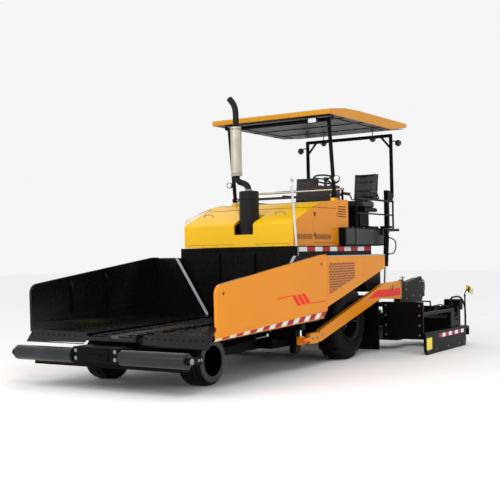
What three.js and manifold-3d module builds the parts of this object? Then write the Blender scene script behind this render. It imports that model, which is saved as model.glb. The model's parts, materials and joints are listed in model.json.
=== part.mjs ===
// Wheeled asphalt paver, 4.5 m paving class, parked with its hopper wings open,
// its end plates on the ground and its screed held just above it.
// Millimetres. +Z up, +X is the machine's left side, the hopper faces -Y.
// The origin is on the ground, midway along the overall length.
import * as THREE from 'three';
import { mergeVertices } from 'three/addons/utils/BufferGeometryUtils.js';
import Module from 'manifold-3d';

const wasm = await Module();
wasm.setup();

// ---------------------------------------------------------------- dimensions
const GAP = 0.3;                       // between pieces that rest on each other

const FRONT_AXLE_Y = -2490, FRONT_R = 300, FRONT_IN = 575, FRONT_OUT = 915;
const KINGPIN_X = 500;
const REAR_AXLE_Y = 680, REAR_R = 545, REAR_IN = 812, REAR_OUT = 1190, RIM_R = 262;

const WING_X = 1455;                   // outer face of an open hopper wing
const WING_Y0 = -3165, WING_Y1 = -552; // front and rear edge of its wall
const HINGE_X = 420, HINGE_Z = 640;    // wing hinge line
const FLOOR_Z0 = 662, FLOOR_Z1 = 695;  // wing floor, front and rear

const ROLLER_Y = -3515, ROLLER_Z = 420, ROLLER_R = 90, ROLLER_IN = 358, ROLLER_OUT = 1305;

const HOOD_X = 933, HOOD_Y0 = -538, HOOD_Y1 = 1165, HOOD_Z0 = 1679.5;
const HOOD_FRONT_Z = 2011, HOOD_BREAK_Y = 330, HOOD_BREAK_Z = 2331, HOOD_REAR_Z = 2385;
const HOOD_T = 25;
const DOOR_Y0 = 45, DOOR_Y1 = 765, DOOR_Z0 = 1725, DOOR_Z1 = 2235;
const NOTCH_X0 = -50, NOTCH_X1 = 275, NOTCH_Y = -205, NOTCH_Z = 1855;

const MUFFLER_X = 105, MUFFLER_Y = -362, MUFFLER_R = 143, MUFFLER_Z0 = 1790, MUFFLER_Z1 = 2485;
const STACK_X = -100, STACK_R = 45, STACK_Z = 3862;
const SHIELD_Z0 = 2715, SHIELD_Z1 = 3430, SHIELD_R = 80;

const DECK_Z = 1960, DECK_Y0 = 1172, DECK_Y1 = 2950, DECK_X = 1000;
const BASE_Z = 1550, BASE_X = 1000, BODY_Y0 = -543;
const PANEL_X = 1455, PANEL_Y1 = 1330, PANEL_TOP = 1532;

const TOW_Y = -936, TOW_Z = 420;       // tow point: pivot of both tow arms
const ARM_IN = 1210, ARM_OUT = 1280;
const LIFT_X = 1140, LIFT_TOP_Y = 2120, LIFT_TOP_Z = 1900, LIFT_EYE_Y = 2010, LIFT_EYE_Z = 1010;

const SCREED_Y0 = 2250, SCREED_Y1 = 2720, SCREED_X = 1250, SOLE_Z = 140;
const EXT_Y0 = 2735, EXT_Y1 = 3190, EXT_OUT = 1960;
const END_X0 = 1962, END_X1 = 2002;

const AUGER_Y = 1900, AUGER_Z = 360, AUGER_R = 180;

const ROOF_X = 1045, ROOF_Y0 = 394, ROOF_Y1 = 3244, ROOF_Z0 = 3610, ROOF_Z1 = 3770;
const FPOST_X = 893, FPOST_FOOT_Y = 793, FPOST_FOOT_Z = 2440, FPOST_TOP_Y = 655, TOP_PIN_Z = 3572;
const RPOST_X = 814, RPOST_TOP_Y = 3083, KNEE_Y = 3095, KNEE_Z = 2500;

const SEAT_X = 567, SEAT_Y0 = 2010, SEAT_Z = 2300;

// ------------------------------------------------------------------- colours
const paint = (c, r = 0.45, m = 0.1) => new THREE.MeshStandardMaterial({ color: c, roughness: r, metalness: m });
const yellow = () => paint(0xf2a51c);
const orange = () => paint(0xee9a1e);
const black = () => paint(0x1b1c1e, 0.5, 0.2);
const darkGrey = () => paint(0x4b4c4f, 0.6, 0.2);
const grey = () => paint(0x8d9298, 0.5, 0.2);
const rubber = () => paint(0x151515, 0.9, 0);
const chrome = () => paint(0xd8dadd, 0.15, 1);
const steel = () => paint(0x9c9fa3, 0.4, 0.9);
const fabric = () => paint(0x17181a, 0.8, 0);

// ---------------------------------------------------------------- geometries
function toManifold(g) {
  let q = g.index ? g.toNonIndexed() : g.clone();
  for (const n of Object.keys(q.attributes)) if (n !== 'position') q.deleteAttribute(n);
  q = mergeVertices(q, 1e-3);
  return new wasm.Manifold(new wasm.Mesh({
    numProp: 3,
    vertProperties: new Float32Array(q.attributes.position.array),
    triVerts: new Uint32Array(q.index.array),
  }));
}
function toGeometry(m) {
  const k = m.getMesh();
  const g = new THREE.BufferGeometry();
  g.setAttribute('position', new THREE.BufferAttribute(new Float32Array(k.vertProperties), 3));
  g.setIndex(new THREE.BufferAttribute(new Uint32Array(k.triVerts), 1));
  g.computeVertexNormals();
  return g;
}
const join = (...list) => {
  let m = toManifold(list[0]);
  for (const g of list.slice(1)) m = m.add(toManifold(g));
  return toGeometry(m);
};
const cut = (a, ...list) => {
  let m = toManifold(a);
  for (const g of list) m = m.subtract(toManifold(g));
  return toGeometry(m);
};
const box = (x0, x1, y0, y1, z0, z1) =>
  new THREE.BoxGeometry(x1 - x0, y1 - y0, z1 - z0)
    .translate((x0 + x1) / 2, (y0 + y1) / 2, (z0 + z1) / 2);

// outline [[y, z], ...] pushed along X
function prismX(pts, x0, x1) {
  const s = new THREE.Shape(pts.map((p) => new THREE.Vector2(p[0], p[1])));
  const g = new THREE.ExtrudeGeometry(s, { depth: x1 - x0, bevelEnabled: false, curveSegments: 6 });
  g.applyMatrix4(new THREE.Matrix4().set(0, 0, 1, x0, 1, 0, 0, 0, 0, 1, 0, 0, 0, 0, 0, 1));
  return g;
}
// outline [[x, z], ...] pushed along Y
function prismY(pts, y0, y1) {
  const s = new THREE.Shape(pts.map((p) => new THREE.Vector2(p[0], p[1])));
  const g = new THREE.ExtrudeGeometry(s, { depth: y1 - y0, bevelEnabled: false, curveSegments: 6 });
  g.applyMatrix4(new THREE.Matrix4().set(1, 0, 0, 0, 0, 0, -1, y1, 0, 1, 0, 0, 0, 0, 0, 1));
  return g;
}
// solid through two like-numbered outlines of [x, y, z] points
function loft(a, b) {
  const n = a.length, pos = [...a, ...b].flat(), idx = [];
  for (let i = 0; i < n; i++) {
    const j = (i + 1) % n;
    idx.push(i, j, n + j, i, n + j, n + i);
  }
  const cap = (o) => {
    const nrm = new THREE.Vector3(), u = new THREE.Vector3(), P = o.map((p) => new THREE.Vector3(...p));
    for (let i = 0; i < n; i++) nrm.add(u.copy(P[i]).sub(P[0]).cross(P[(i + 1) % n].clone().sub(P[0])));
    nrm.normalize();
    const two = P.map((p) => Math.abs(nrm.x) > 0.7 ? new THREE.Vector2(p.y, p.z) : Math.abs(nrm.y) > 0.7 ? new THREE.Vector2(p.x, p.z) : new THREE.Vector2(p.x, p.y));
    const area = THREE.ShapeUtils.area(two);
    const ccw = area > 0 ? two : [...two].reverse();
    return THREE.ShapeUtils.triangulateShape(ccw, []).map((t) => {
      const k = t.map((i) => (area > 0 ? i : n - 1 - i));
      const s = THREE.ShapeUtils.area(k.map((i) => two[i]));
      return s * area > 0 ? k : [k[0], k[2], k[1]];
    });
  };
  for (const t of cap(a)) idx.push(t[0], t[2], t[1]);
  for (const t of cap(b)) idx.push(n + t[0], n + t[1], n + t[2]);
  let vol = 0;
  for (let i = 0; i < idx.length; i += 3) {
    const q = [0, 1, 2].map((k) => new THREE.Vector3(...pos.slice(3 * idx[i + k], 3 * idx[i + k] + 3)));
    vol += q[0].dot(q[1].cross(q[2]));
  }
  if (vol < 0) for (let i = 0; i < idx.length; i += 3) [idx[i + 1], idx[i + 2]] = [idx[i + 2], idx[i + 1]];
  const g = new THREE.BufferGeometry();
  g.setAttribute('position', new THREE.BufferAttribute(new Float32Array(pos), 3));
  g.setIndex(idx);
  return g;
}
// round bar between two points
function bar(p, q, r, seg = 16, r2 = r) {
  const a = new THREE.Vector3(...p), b = new THREE.Vector3(...q);
  const d = b.clone().sub(a), L = d.length();
  const g = new THREE.CylinderGeometry(r2, r, L, seg).translate(0, L / 2, 0);
  g.applyQuaternion(new THREE.Quaternion().setFromUnitVectors(new THREE.Vector3(0, 1, 0), d.normalize()));
  return g.translate(a.x, a.y, a.z);
}
// tube along a smooth path of points
function tube(points, r, steps = 24, sides = 10, tension = 0.5) {
  const curve = new THREE.CatmullRomCurve3(points.map((p) => new THREE.Vector3(...p)), false, 'catmullrom', tension);
  const s = new THREE.Shape();
  for (let i = 0; i < sides; i++) {
    const t = (i / sides) * Math.PI * 2;
    if (i === 0) s.moveTo(r * Math.cos(t), r * Math.sin(t)); else s.lineTo(r * Math.cos(t), r * Math.sin(t));
  }
  s.closePath();
  return new THREE.ExtrudeGeometry(s, { steps, extrudePath: curve, bevelEnabled: false });
}
// turned shape about an X line through (y, z); profile [[radius, x], ...]
function turnX(profile, y, z, seg = 40) {
  const g = new THREE.LatheGeometry(profile.map((p) => new THREE.Vector2(p[0], p[1])), seg);
  g.rotateZ(-Math.PI / 2);             // the lathe's +Y becomes +X
  return g.translate(0, y, z);
}
// turned shape about a Z line through (x, y); profile [[radius, z], ...]
function turnZ(profile, x, y, seg = 32) {
  const g = new THREE.LatheGeometry(profile.map((p) => new THREE.Vector2(p[0], p[1])), seg);
  g.rotateX(Math.PI / 2);              // the lathe's +Y becomes +Z
  return g.translate(x, y, 0);
}
// the same solid on the other side of the machine
function mirror(g) {
  const q = (g.index ? g.toNonIndexed() : g.clone());
  const p = q.attributes.position;
  for (let i = 0; i < p.count; i += 3) {
    const v = [0, 1, 2].map((k) => [-p.getX(i + k), p.getY(i + k), p.getZ(i + k)]);
    [v[0], v[2], v[1]].forEach((c, k) => p.setXYZ(i + k, ...c));
  }
  q.computeVertexNormals();
  return q;
}

// --------------------------------------------------------------- scene graph
const paver = new THREE.Group();
paver.name = 'asphalt_paver';
const add = (name, geometry, material, parent = paver) => {
  const m = new THREE.Mesh(geometry, material);
  m.name = name;
  parent.add(m);
  return m;
};
const pair = (name, geometry, material) => {
  add(name + '_L', geometry, material());
  add(name + '_R', mirror(geometry), material());
};

// ------------------------------------------------------------------- chassis
{
  // front: two side plates under the conveyor, joined by cross plates
  const plate = prismX([[-3148, 300], [-3148, 560], [-560, 590], [-560, 250], [-2150, 250], [-2230, 300]], 380, 420);
  const slot = box(-600, 600, -2560, -2420, 200, 385);
  const rearPlate = prismX([[-560, 250], [-560, 1195], [1850, 1195], [1850, 1000], [1500, 420], [1350, 250]], 560, 600);
  const wall = box(-600, 600, -600, -560, 250, 612);
  const belly = box(-600, 600, -560, 1400, 250, 275);
  const roof = box(-600, 600, -560, 1850, 1155, 1195);
  let g = join(plate, mirror(plate), box(-420, 420, -3148, -3110, 300, 560), box(-420, 420, -2560, -2420, 390, 560),
    rearPlate, mirror(rearPlate), wall, belly, roof);
  // brackets that guide the tow points
  const br = box(400, 1150, -1000, -870, 430, 560);
  const guide = box(1110, 1205, -1000, -870, 250, 640);
  const head = cut(box(1150, 1290, -990, -880, 560, 640), bar([1244, TOW_Y, 500], [1244, TOW_Y, 700], 22, 12));
  g = join(g, br, mirror(br), guide, mirror(guide), head, mirror(head));
  // deflector plates between the drive wheels and the auger
  const flap = box(590, 1200, 1610, 1640, 50, 900);
  g = join(g, flap, mirror(flap));
  // hangers of the auger gearbox
  g = join(g, box(-60, 60, 1830, 1960, 620, 1195), box(-110, 110, 1815, 1985, 420, 640));
  // eyes for the wing cylinders
  const eye = box(410, 425, -1640, -1560, 330, 440);
  g = join(g, eye, mirror(eye));
  g = cut(g, slot, box(-700, 700, -561, -514.7, 640, 1200));
  add('main_frame', g, black());
}
{
  // conveyor floor with its centre ridge, rising to the rear
  const sec = (y, z) => [[-395, y, z - 40], [-395, y, z + 35], [-330, y, z], [-40, y, z], [0, y, z + 26], [40, y, z], [330, y, z], [395, y, z + 35], [395, y, z - 40]];
  add('conveyor_deck', loft(sec(-3300, 612), sec(1560, 702)), darkGrey());
}
{
  const beam = join(box(-1140, 1140, -3400, -3250, 272, 440), box(-1345, 1345, -3400, -3300, 370, 440),
    box(-350, 350, -3560, -3250, 350, 528), box(-400, 400, -3250, -3148.3, 300, 520));
  const cheek = prismX([[-3560, 380], [-3590, 420], [-3560, 462], [-3300, 462], [-3300, 380]], 1312, 1345);
  add('push_beam', join(beam, cheek, mirror(cheek)), black());
  pair('push_roller', turnX([[0, ROLLER_IN], [60, ROLLER_IN], [ROLLER_R, ROLLER_IN + 12], [ROLLER_R, ROLLER_OUT - 12], [60, ROLLER_OUT], [0, ROLLER_OUT]], ROLLER_Y, ROLLER_Z, 24), steel);
}
{
  // body below hood and platform, with the bulkhead behind the hopper
  const walk = join(box(800, 1410, HOOD_Y0, PANEL_Y1, 1500, 1530), box(800, 830, HOOD_Y0, PANEL_Y1, 1200, 1530));
  let g = join(box(-800, 800, BODY_Y0, 2250, 1195.3, BASE_Z),
    box(-BASE_X, BASE_X, BODY_Y0, 1820, 1530, HOOD_Z0 - 5), walk, mirror(walk));
  const head = cut(box(-930, 930, BODY_Y0, -515, 760, HOOD_Z0 - 5), box(-400, 400, -700, 0, 700, 1060));
  g = join(g, head, box(-660, 660, BODY_Y0, -515, 640.3, 800));
  g = cut(g, box(-400, 400, -700, -450, 600, 1060), box(-300, 300, 40, 1000, 1400, 1700));
  const tank = prismX([[1340, 1198], [1340, 1115], [1615, 1115], [1650, 950], [2150, 950], [2195, 1000], [2195, 1540], [1830, 1540], [1830, 1198]], 640, 980);
  add('deck_body', join(g, box(-800, 800, 1810, 2250, 1540, HOOD_Z0 - 5), tank, mirror(tank)), black());
}
{
  // hood: shell with a sloping front, door openings at both sides
  const side = [[HOOD_Y0, HOOD_Z0], [HOOD_Y1, HOOD_Z0], [HOOD_Y1, HOOD_REAR_Z], [HOOD_BREAK_Y, HOOD_BREAK_Z], [HOOD_BREAK_Y - 120, HOOD_BREAK_Z - 32], [HOOD_Y0 + 45, HOOD_FRONT_Z + 22], [HOOD_Y0, HOOD_FRONT_Z - 15]];
  const inner = [[HOOD_Y0 + HOOD_T, HOOD_Z0 - 10], [HOOD_Y1 - HOOD_T, HOOD_Z0 - 10], [HOOD_Y1 - HOOD_T, HOOD_REAR_Z - HOOD_T], [HOOD_BREAK_Y, HOOD_BREAK_Z - HOOD_T], [HOOD_Y0 + HOOD_T, HOOD_FRONT_Z - HOOD_T]];
  let g = cut(prismX(side, -HOOD_X, HOOD_X), prismX(inner, -HOOD_X + HOOD_T, HOOD_X - HOOD_T),
    box(-1000, 1000, DOOR_Y0 - 6, DOOR_Y1 + 6, DOOR_Z0 - 6, DOOR_Z1 + 6),
    box(NOTCH_X0, NOTCH_X1, -700, NOTCH_Y, NOTCH_Z, 2500));
  // seats for the canopy feet
  const foot = box(FPOST_X - 36, FPOST_X + 36, FPOST_FOOT_Y - 60, FPOST_FOOT_Y + 60, HOOD_BREAK_Z, FPOST_FOOT_Z - 42);
  g = join(g, foot, mirror(foot));
  add('engine_hood', g, yellow());
  const door = join(box(HOOD_X - HOOD_T, HOOD_X, DOOR_Y0, DOOR_Y1, DOOR_Z0, DOOR_Z1),
    box(HOOD_X - 1, HOOD_X + 10, DOOR_Y0 + 25, DOOR_Y0 + 75, DOOR_Z0 + 90, DOOR_Z0 + 140),
    box(HOOD_X - 1, HOOD_X + 10, DOOR_Y0 + 25, DOOR_Y0 + 75, DOOR_Z1 - 120, DOOR_Z1 - 70));
  pair('engine_door', door, orange);
  add('engine_block', box(-280, 280, 60, 980, 1400.3, 2120), darkGrey());
  const mp = [[0, MUFFLER_Z0], [118, MUFFLER_Z0], [MUFFLER_R, MUFFLER_Z0 + 18], [MUFFLER_R, MUFFLER_Z1 - 14], [128, MUFFLER_Z1], [0, MUFFLER_Z1]];
  add('muffler', join(turnZ(mp, MUFFLER_X, MUFFLER_Y, 24), box(MUFFLER_X - 80, MUFFLER_X + 80, MUFFLER_Y - 60, MUFFLER_Y + 60, HOOD_Z0 - 4.7, MUFFLER_Z0 + 5)), darkGrey());
  const zt = MUFFLER_Z1 + GAP;
  add('exhaust_stack', tube([[MUFFLER_X, MUFFLER_Y, zt], [MUFFLER_X, MUFFLER_Y, zt + 40], [MUFFLER_X - 60, MUFFLER_Y, zt + 110], [STACK_X + 50, MUFFLER_Y, zt + 140],
    [STACK_X, MUFFLER_Y, zt + 215], [STACK_X, MUFFLER_Y, 3000], [STACK_X, MUFFLER_Y, 3400], [STACK_X, MUFFLER_Y, 3640], [STACK_X - 30, MUFFLER_Y, 3760], [STACK_X - 105, MUFFLER_Y, STACK_Z - 8]], STACK_R, 26, 10), black());
  add('heat_shield', turnZ([[58, SHIELD_Z0], [SHIELD_R, SHIELD_Z0], [SHIELD_R, SHIELD_Z1], [58, SHIELD_Z1], [58, SHIELD_Z0]], STACK_X, MUFFLER_Y, 24), steel());
}
{
  // operator platform with its side boxes, rear post stubs and guard rails
  const under = box(-930, 930, DECK_Y0, 2340, HOOD_Z0 - 4.5, 1925);
  const deck = box(-DECK_X, DECK_X, DECK_Y0, DECK_Y1, 1920, DECK_Z);
  const sideBox = box(929, 1045, 1172, 2340, HOOD_Z0, DECK_Z - 5);
  const sideFront = box(938, 1045, 830, 1173, HOOD_Z0, DECK_Z - 5);
  const lug = join(box(1044, 1200, 2080, 2200, LIFT_TOP_Z + 52, LIFT_TOP_Z + 92), box(1044, 1080, 2080, 2200, LIFT_TOP_Z - 50, LIFT_TOP_Z + 92));
  const stub = join(box(RPOST_X - 35, RPOST_X + 35, 2830, 2900, DECK_Z - 5, KNEE_Z + 120),
    prismX([[2830, KNEE_Z - 10], [2900, KNEE_Z - 60], [3055, KNEE_Z - 60], [3055, KNEE_Z + 60], [2900, KNEE_Z + 120], [2830, KNEE_Z + 120]], RPOST_X - 35, RPOST_X + 35));
  const railF = join(bar([RPOST_X, 1215, DECK_Z - 4], [RPOST_X, 1215, 2560], 19, 8), bar([-RPOST_X, 1215, DECK_Z - 4], [-RPOST_X, 1215, 2560], 19, 8),
    bar([-RPOST_X - 19, 1215, 2560], [RPOST_X + 19, 1215, 2560], 19, 8));
  const sideRail = join(bar([955, 1400, DECK_Z - 4], [955, 1400, 2420], 17, 8), bar([955, 2800, DECK_Z - 4], [955, 2800, 2420], 17, 8),
    bar([955, 1383, 2420], [955, 2817, 2420], 17, 8), bar([955, 1400, 2190], [955, 2800, 2190], 13, 8));
  const seatRail = join(box(-860, 860, 2120, 2180, DECK_Z - 1, DECK_Z + 40), box(-860, 860, 2360, 2420, DECK_Z - 1, DECK_Z + 40));
  const ped = (x) => join(box(x - 110, x + 110, 2100, 2440, DECK_Z + 20, SEAT_Z - 40), box(x - 240, x + 240, 2030, 2490, SEAT_Z - 60, SEAT_Z - 3));
  let g = join(under, deck, sideBox, mirror(sideBox), sideFront, mirror(sideFront), lug, mirror(lug), stub, mirror(stub), railF, sideRail, mirror(sideRail), seatRail, ped(SEAT_X), ped(-SEAT_X));
  add('operator_platform', g, black());
  // cushion and back of one seat
  const seat = prismX([[SEAT_Y0, SEAT_Z], [SEAT_Y0 + 480, SEAT_Z], [SEAT_Y0 + 600, SEAT_Z + 60], [SEAT_Y0 + 650, SEAT_Z + 610], [SEAT_Y0 + 560, SEAT_Z + 625], [SEAT_Y0 + 470, SEAT_Z + 130], [SEAT_Y0 + 20, SEAT_Z + 130]], SEAT_X - 240, SEAT_X + 240);
  pair('seat', seat, fabric);
  add('console', join(box(-60, 520, 1560, 1720, 2420, 2650), box(120, 360, 1590, 1700, DECK_Z + GAP, 2430),
    bar([280, 1660, 2640], [280, 1690, 2745], 26, 12)), darkGrey());
  const wheel = new THREE.TorusGeometry(205, 15, 6, 22);
  const hub = new THREE.CylinderGeometry(48, 40, 40, 12).rotateX(Math.PI / 2);
  const spoke = (a) => box(30, 205, -14, 14, -9, 9).rotateZ(a);
  const sw = join(wheel, hub, spoke(Math.PI / 2), spoke(Math.PI * 7 / 6), spoke(-Math.PI / 6));
  sw.rotateX(-Math.atan2(30, 105)).translate(280, 1696.5, 2768);
  add('steering_wheel', sw, rubber());
}
{
  // fixed side panels over the drive wheels
  const p = prismX([[-546, 845], [-546, PANEL_TOP], [PANEL_Y1, PANEL_TOP], [PANEL_Y1, 1335], [1180, 1290]], 1415, PANEL_X);
  const rib = box(1400, 1416, -546, PANEL_Y1, 1470, 1499.7);
  pair('side_panel', join(p, rib), yellow);
  const rail = tube([[966, -522, 1675], [966, -522.5, 1740], [965, -536, 1900], [963, -566, 2150], [960, -592, 2400], [955, -600, 2520], [940, -582, 2578], [925, -535, 2588], [920, -500, 2574]], 17, 20, 8);
  add('grab_rail', rail, chrome());
}

// ------------------------------------------------------------ wheels, steering
{
  const beam = join(box(-440, 440, -2535, -2445, 255, 350), box(-533, 533, -2535, -2445, 357, 377), box(-533, 533, -2535, -2445, 222, 241), box(-60, 60, -2520, -2460, 340, 389.7));
  const endB = box(430, 452, -2535, -2445, 225, 372);
  add('front_axle', join(beam, endB, mirror(endB)), black());
  const knuckle = join(bar([KINGPIN_X, FRONT_AXLE_Y, 247], [KINGPIN_X, FRONT_AXLE_Y, 351], 38, 20),
    bar([KINGPIN_X, FRONT_AXLE_Y, 300], [562, FRONT_AXLE_Y, 300], 34, 16), bar([558, FRONT_AXLE_Y, 300], [FRONT_IN - GAP, FRONT_AXLE_Y, 300], 100, 24));
  pair('knuckle', knuckle, black);
  const fw = turnX([[0, FRONT_IN], [262, FRONT_IN + 4], [290, FRONT_IN + 28], [FRONT_R, FRONT_IN + 60], [FRONT_R, FRONT_OUT - 60], [290, FRONT_OUT - 28], [262, FRONT_OUT - 8],
    [200, FRONT_OUT - 8], [185, FRONT_OUT - 110], [90, FRONT_OUT - 110], [80, FRONT_OUT - 70], [0, FRONT_OUT - 70]], FRONT_AXLE_Y, FRONT_R, 26);
  pair('front_wheel', fw, rubber);

  const cx = (REAR_IN + REAR_OUT) / 2, hw = (REAR_OUT - REAR_IN) / 2;
  const half = [[RIM_R + 3, -hw + 44], [RIM_R + 20, -hw + 16], [350, -hw], [460, -hw + 8], [522, -hw + 30], [REAR_R, -hw + 95], [REAR_R, 0]];
  const other = half.slice(0, -1).reverse().map((p) => [p[0], -p[1]]);
  const tp = [...half, ...other, half[0]].map((p) => [p[0], p[1] + cx]);
  pair('rear_tyre', turnX(tp, REAR_AXLE_Y, REAR_R, 32), rubber);
  const o = RIM_R;
  const rim = turnX([[0, 885], [112, 885], [118, 968], [236, 968], [236, REAR_IN + 20], [o + 10, REAR_IN + 6], [o, REAR_IN + 26],
    [o, REAR_OUT - 26], [o + 10, REAR_OUT - 6], [236, REAR_OUT - 20], [236, 992], [118, 992], [118, 1060], [104, 1078], [0, 1078]], REAR_AXLE_Y, REAR_R, 24);
  pair('rear_rim', rim, grey);
  const tubeR = bar([600 + GAP, REAR_AXLE_Y, REAR_R], [800, REAR_AXLE_Y, REAR_R], 95, 20);
  const flange = bar([790, REAR_AXLE_Y, REAR_R], [885 - GAP, REAR_AXLE_Y, REAR_R], 150, 24);
  const halfAxle = join(tubeR, flange, bar([600 + GAP, REAR_AXLE_Y, REAR_R], [640, REAR_AXLE_Y, REAR_R], 170, 24));
  pair('final_drive', halfAxle, darkGrey);
}
// ------------------------------------------------------------- hopper wings
{
  // cross-sections of the tub, front and rear: floor, chamfer and liner
  const sec = (y, zf, zc) => [[445, y, zf - 50], [560, y, zf - 30], [1365, y, zf - 30], [1440, y, zc - 15], [1440, y, zc + 15], [1418, y, zc + 15], [WING_X - 40, y, zc], [1348, y, zf], [560, y, zf], [445, y, zf - 22]];
  const tub = loft(sec(WING_Y0 - 10, FLOOR_Z0, 750), sec(-640, FLOOR_Z1, 860));
  // outer wall with its rounded front corner
  const wallPts = [[WING_Y0, 640], [WING_Y0 - 8, 1120]];
  for (let i = 0; i <= 6; i++) { const a = Math.PI - (i / 6) * (Math.PI / 2 - 0.12); wallPts.push([WING_Y0 + 118 + 126 * Math.cos(a), 1126 + 122 * Math.sin(a)]); }
  wallPts.push([-730, 1548], [-700, 1552], [WING_Y1, 1552], [WING_Y1, 800]);
  const wall = prismX(wallPts, WING_X - 40, WING_X);
  // skirt below the crease
  const skirt = loft([[WING_X, WING_Y0, 690], [WING_X - 40, WING_Y0, 690], [WING_X - 90, WING_Y0 + 10, 600], [WING_X - 62, WING_Y0 + 10, 600]],
    [[WING_X, WING_Y1, 812], [WING_X - 40, WING_Y1, 812], [WING_X - 90, WING_Y1, 690], [WING_X - 62, WING_Y1, 690]]);
  const rear = prismY([[455, 656], [474, 718], [985, 1542], [WING_X - 20, 1542], [WING_X - 20, 850], [1340, 660]], -640, -602);
  const apron = loft([[425, WING_Y0 - 8, 655], [1400, WING_Y0 - 8, 668], [1400, WING_Y0 + 14, 668], [425, WING_Y0 + 14, 655]],
    [[425, -3285, 545], [1400, -3285, 530], [1400, -3262, 530], [425, -3262, 545]]);
  const stiff = box(1360, WING_X - 35, -700, -640, 700, 1400);
  const lug = box(1120, 1180, -1625, -1575, 585, 660);
  const g = join(tub, wall, skirt, rear, apron, stiff, lug);
  pair('hopper_wing', g, yellow);
  const a = [445, -1600, 385], b = [1150, -1600, 545];
  const dir = new THREE.Vector3(b[0] - a[0], 0, b[2] - a[2]), L = dir.length(); dir.normalize();
  const at = (t) => [a[0] + dir.x * t, -1600, a[2] + dir.z * t];
  const cyl = cut(join(bar(at(60), at(L - 190), 38, 16), bar([a[0] + dir.x * 60 - dir.z * 20, -1600, a[2] + dir.z * 60 + dir.x * 20], [a[0] + dir.x * 60 + dir.z * 20, -1600, a[2] + dir.z * 60 - dir.x * 20], 34, 12)), bar(at(110), at(L - 150), 22, 16));
  pair('wing_cylinder', cyl, black);
  pair('wing_rod', bar(at(150), at(L - 8), 19, 16), chrome);
}
// ------------------------------------------------------ tow points and arms
{
  const block = join(box(1212, 1276, TOW_Y - 50, TOW_Y + 50, TOW_Z - 55, TOW_Z + 55), bar([1244, TOW_Y, TOW_Z + 50], [1244, TOW_Y, 604], 16, 12));
  pair('tow_point', block, orange);
  // arm: fork plate at the tow point, long box arm, level rear end
  const armPts = [[TOW_Y + 60, 392], [TOW_Y + 60, 448], [-735, 450], [-728, 498], [-482, 498], [-474, 470], [-458, 470], [-450, 517], [1500, 1036], [1640, 1080],
    [2350, 1104], [2350, 806], [1600, 850], [1470, 832], [-425, 366], [-450, 366], [-458, 378], [-474, 378], [-482, 356], [-728, 356], [-735, 392]];
  pair('tow_arm', prismX(armPts, ARM_IN, ARM_OUT), orange);
  const tA = [LIFT_X, LIFT_TOP_Y, LIFT_TOP_Z], tB = [LIFT_X, LIFT_EYE_Y, LIFT_EYE_Z];
  const d = new THREE.Vector3(0, tB[1] - tA[1], tB[2] - tA[2]), L = d.length(); d.normalize();
  const at = (t) => [LIFT_X, tA[1] + d.y * t, tA[2] + d.z * t];
  const barrel = cut(join(bar(at(50), at(560), 42, 20), bar([LIFT_X - 30, tA[1], tA[2]], [LIFT_X + 30, tA[1], tA[2]], 40, 16), bar(at(0), at(60), 26, 12)), bar(at(90), at(620), 26, 16));
  pair('lift_cylinder', barrel, black);
  const rod = join(bar(at(385), at(L - 30), 22, 16), bar([LIFT_X - 28, tB[1], tB[2]], [LIFT_X + 28, tB[1], tB[2]], 34, 16));
  pair('lift_rod', rod, chrome);
}
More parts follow.
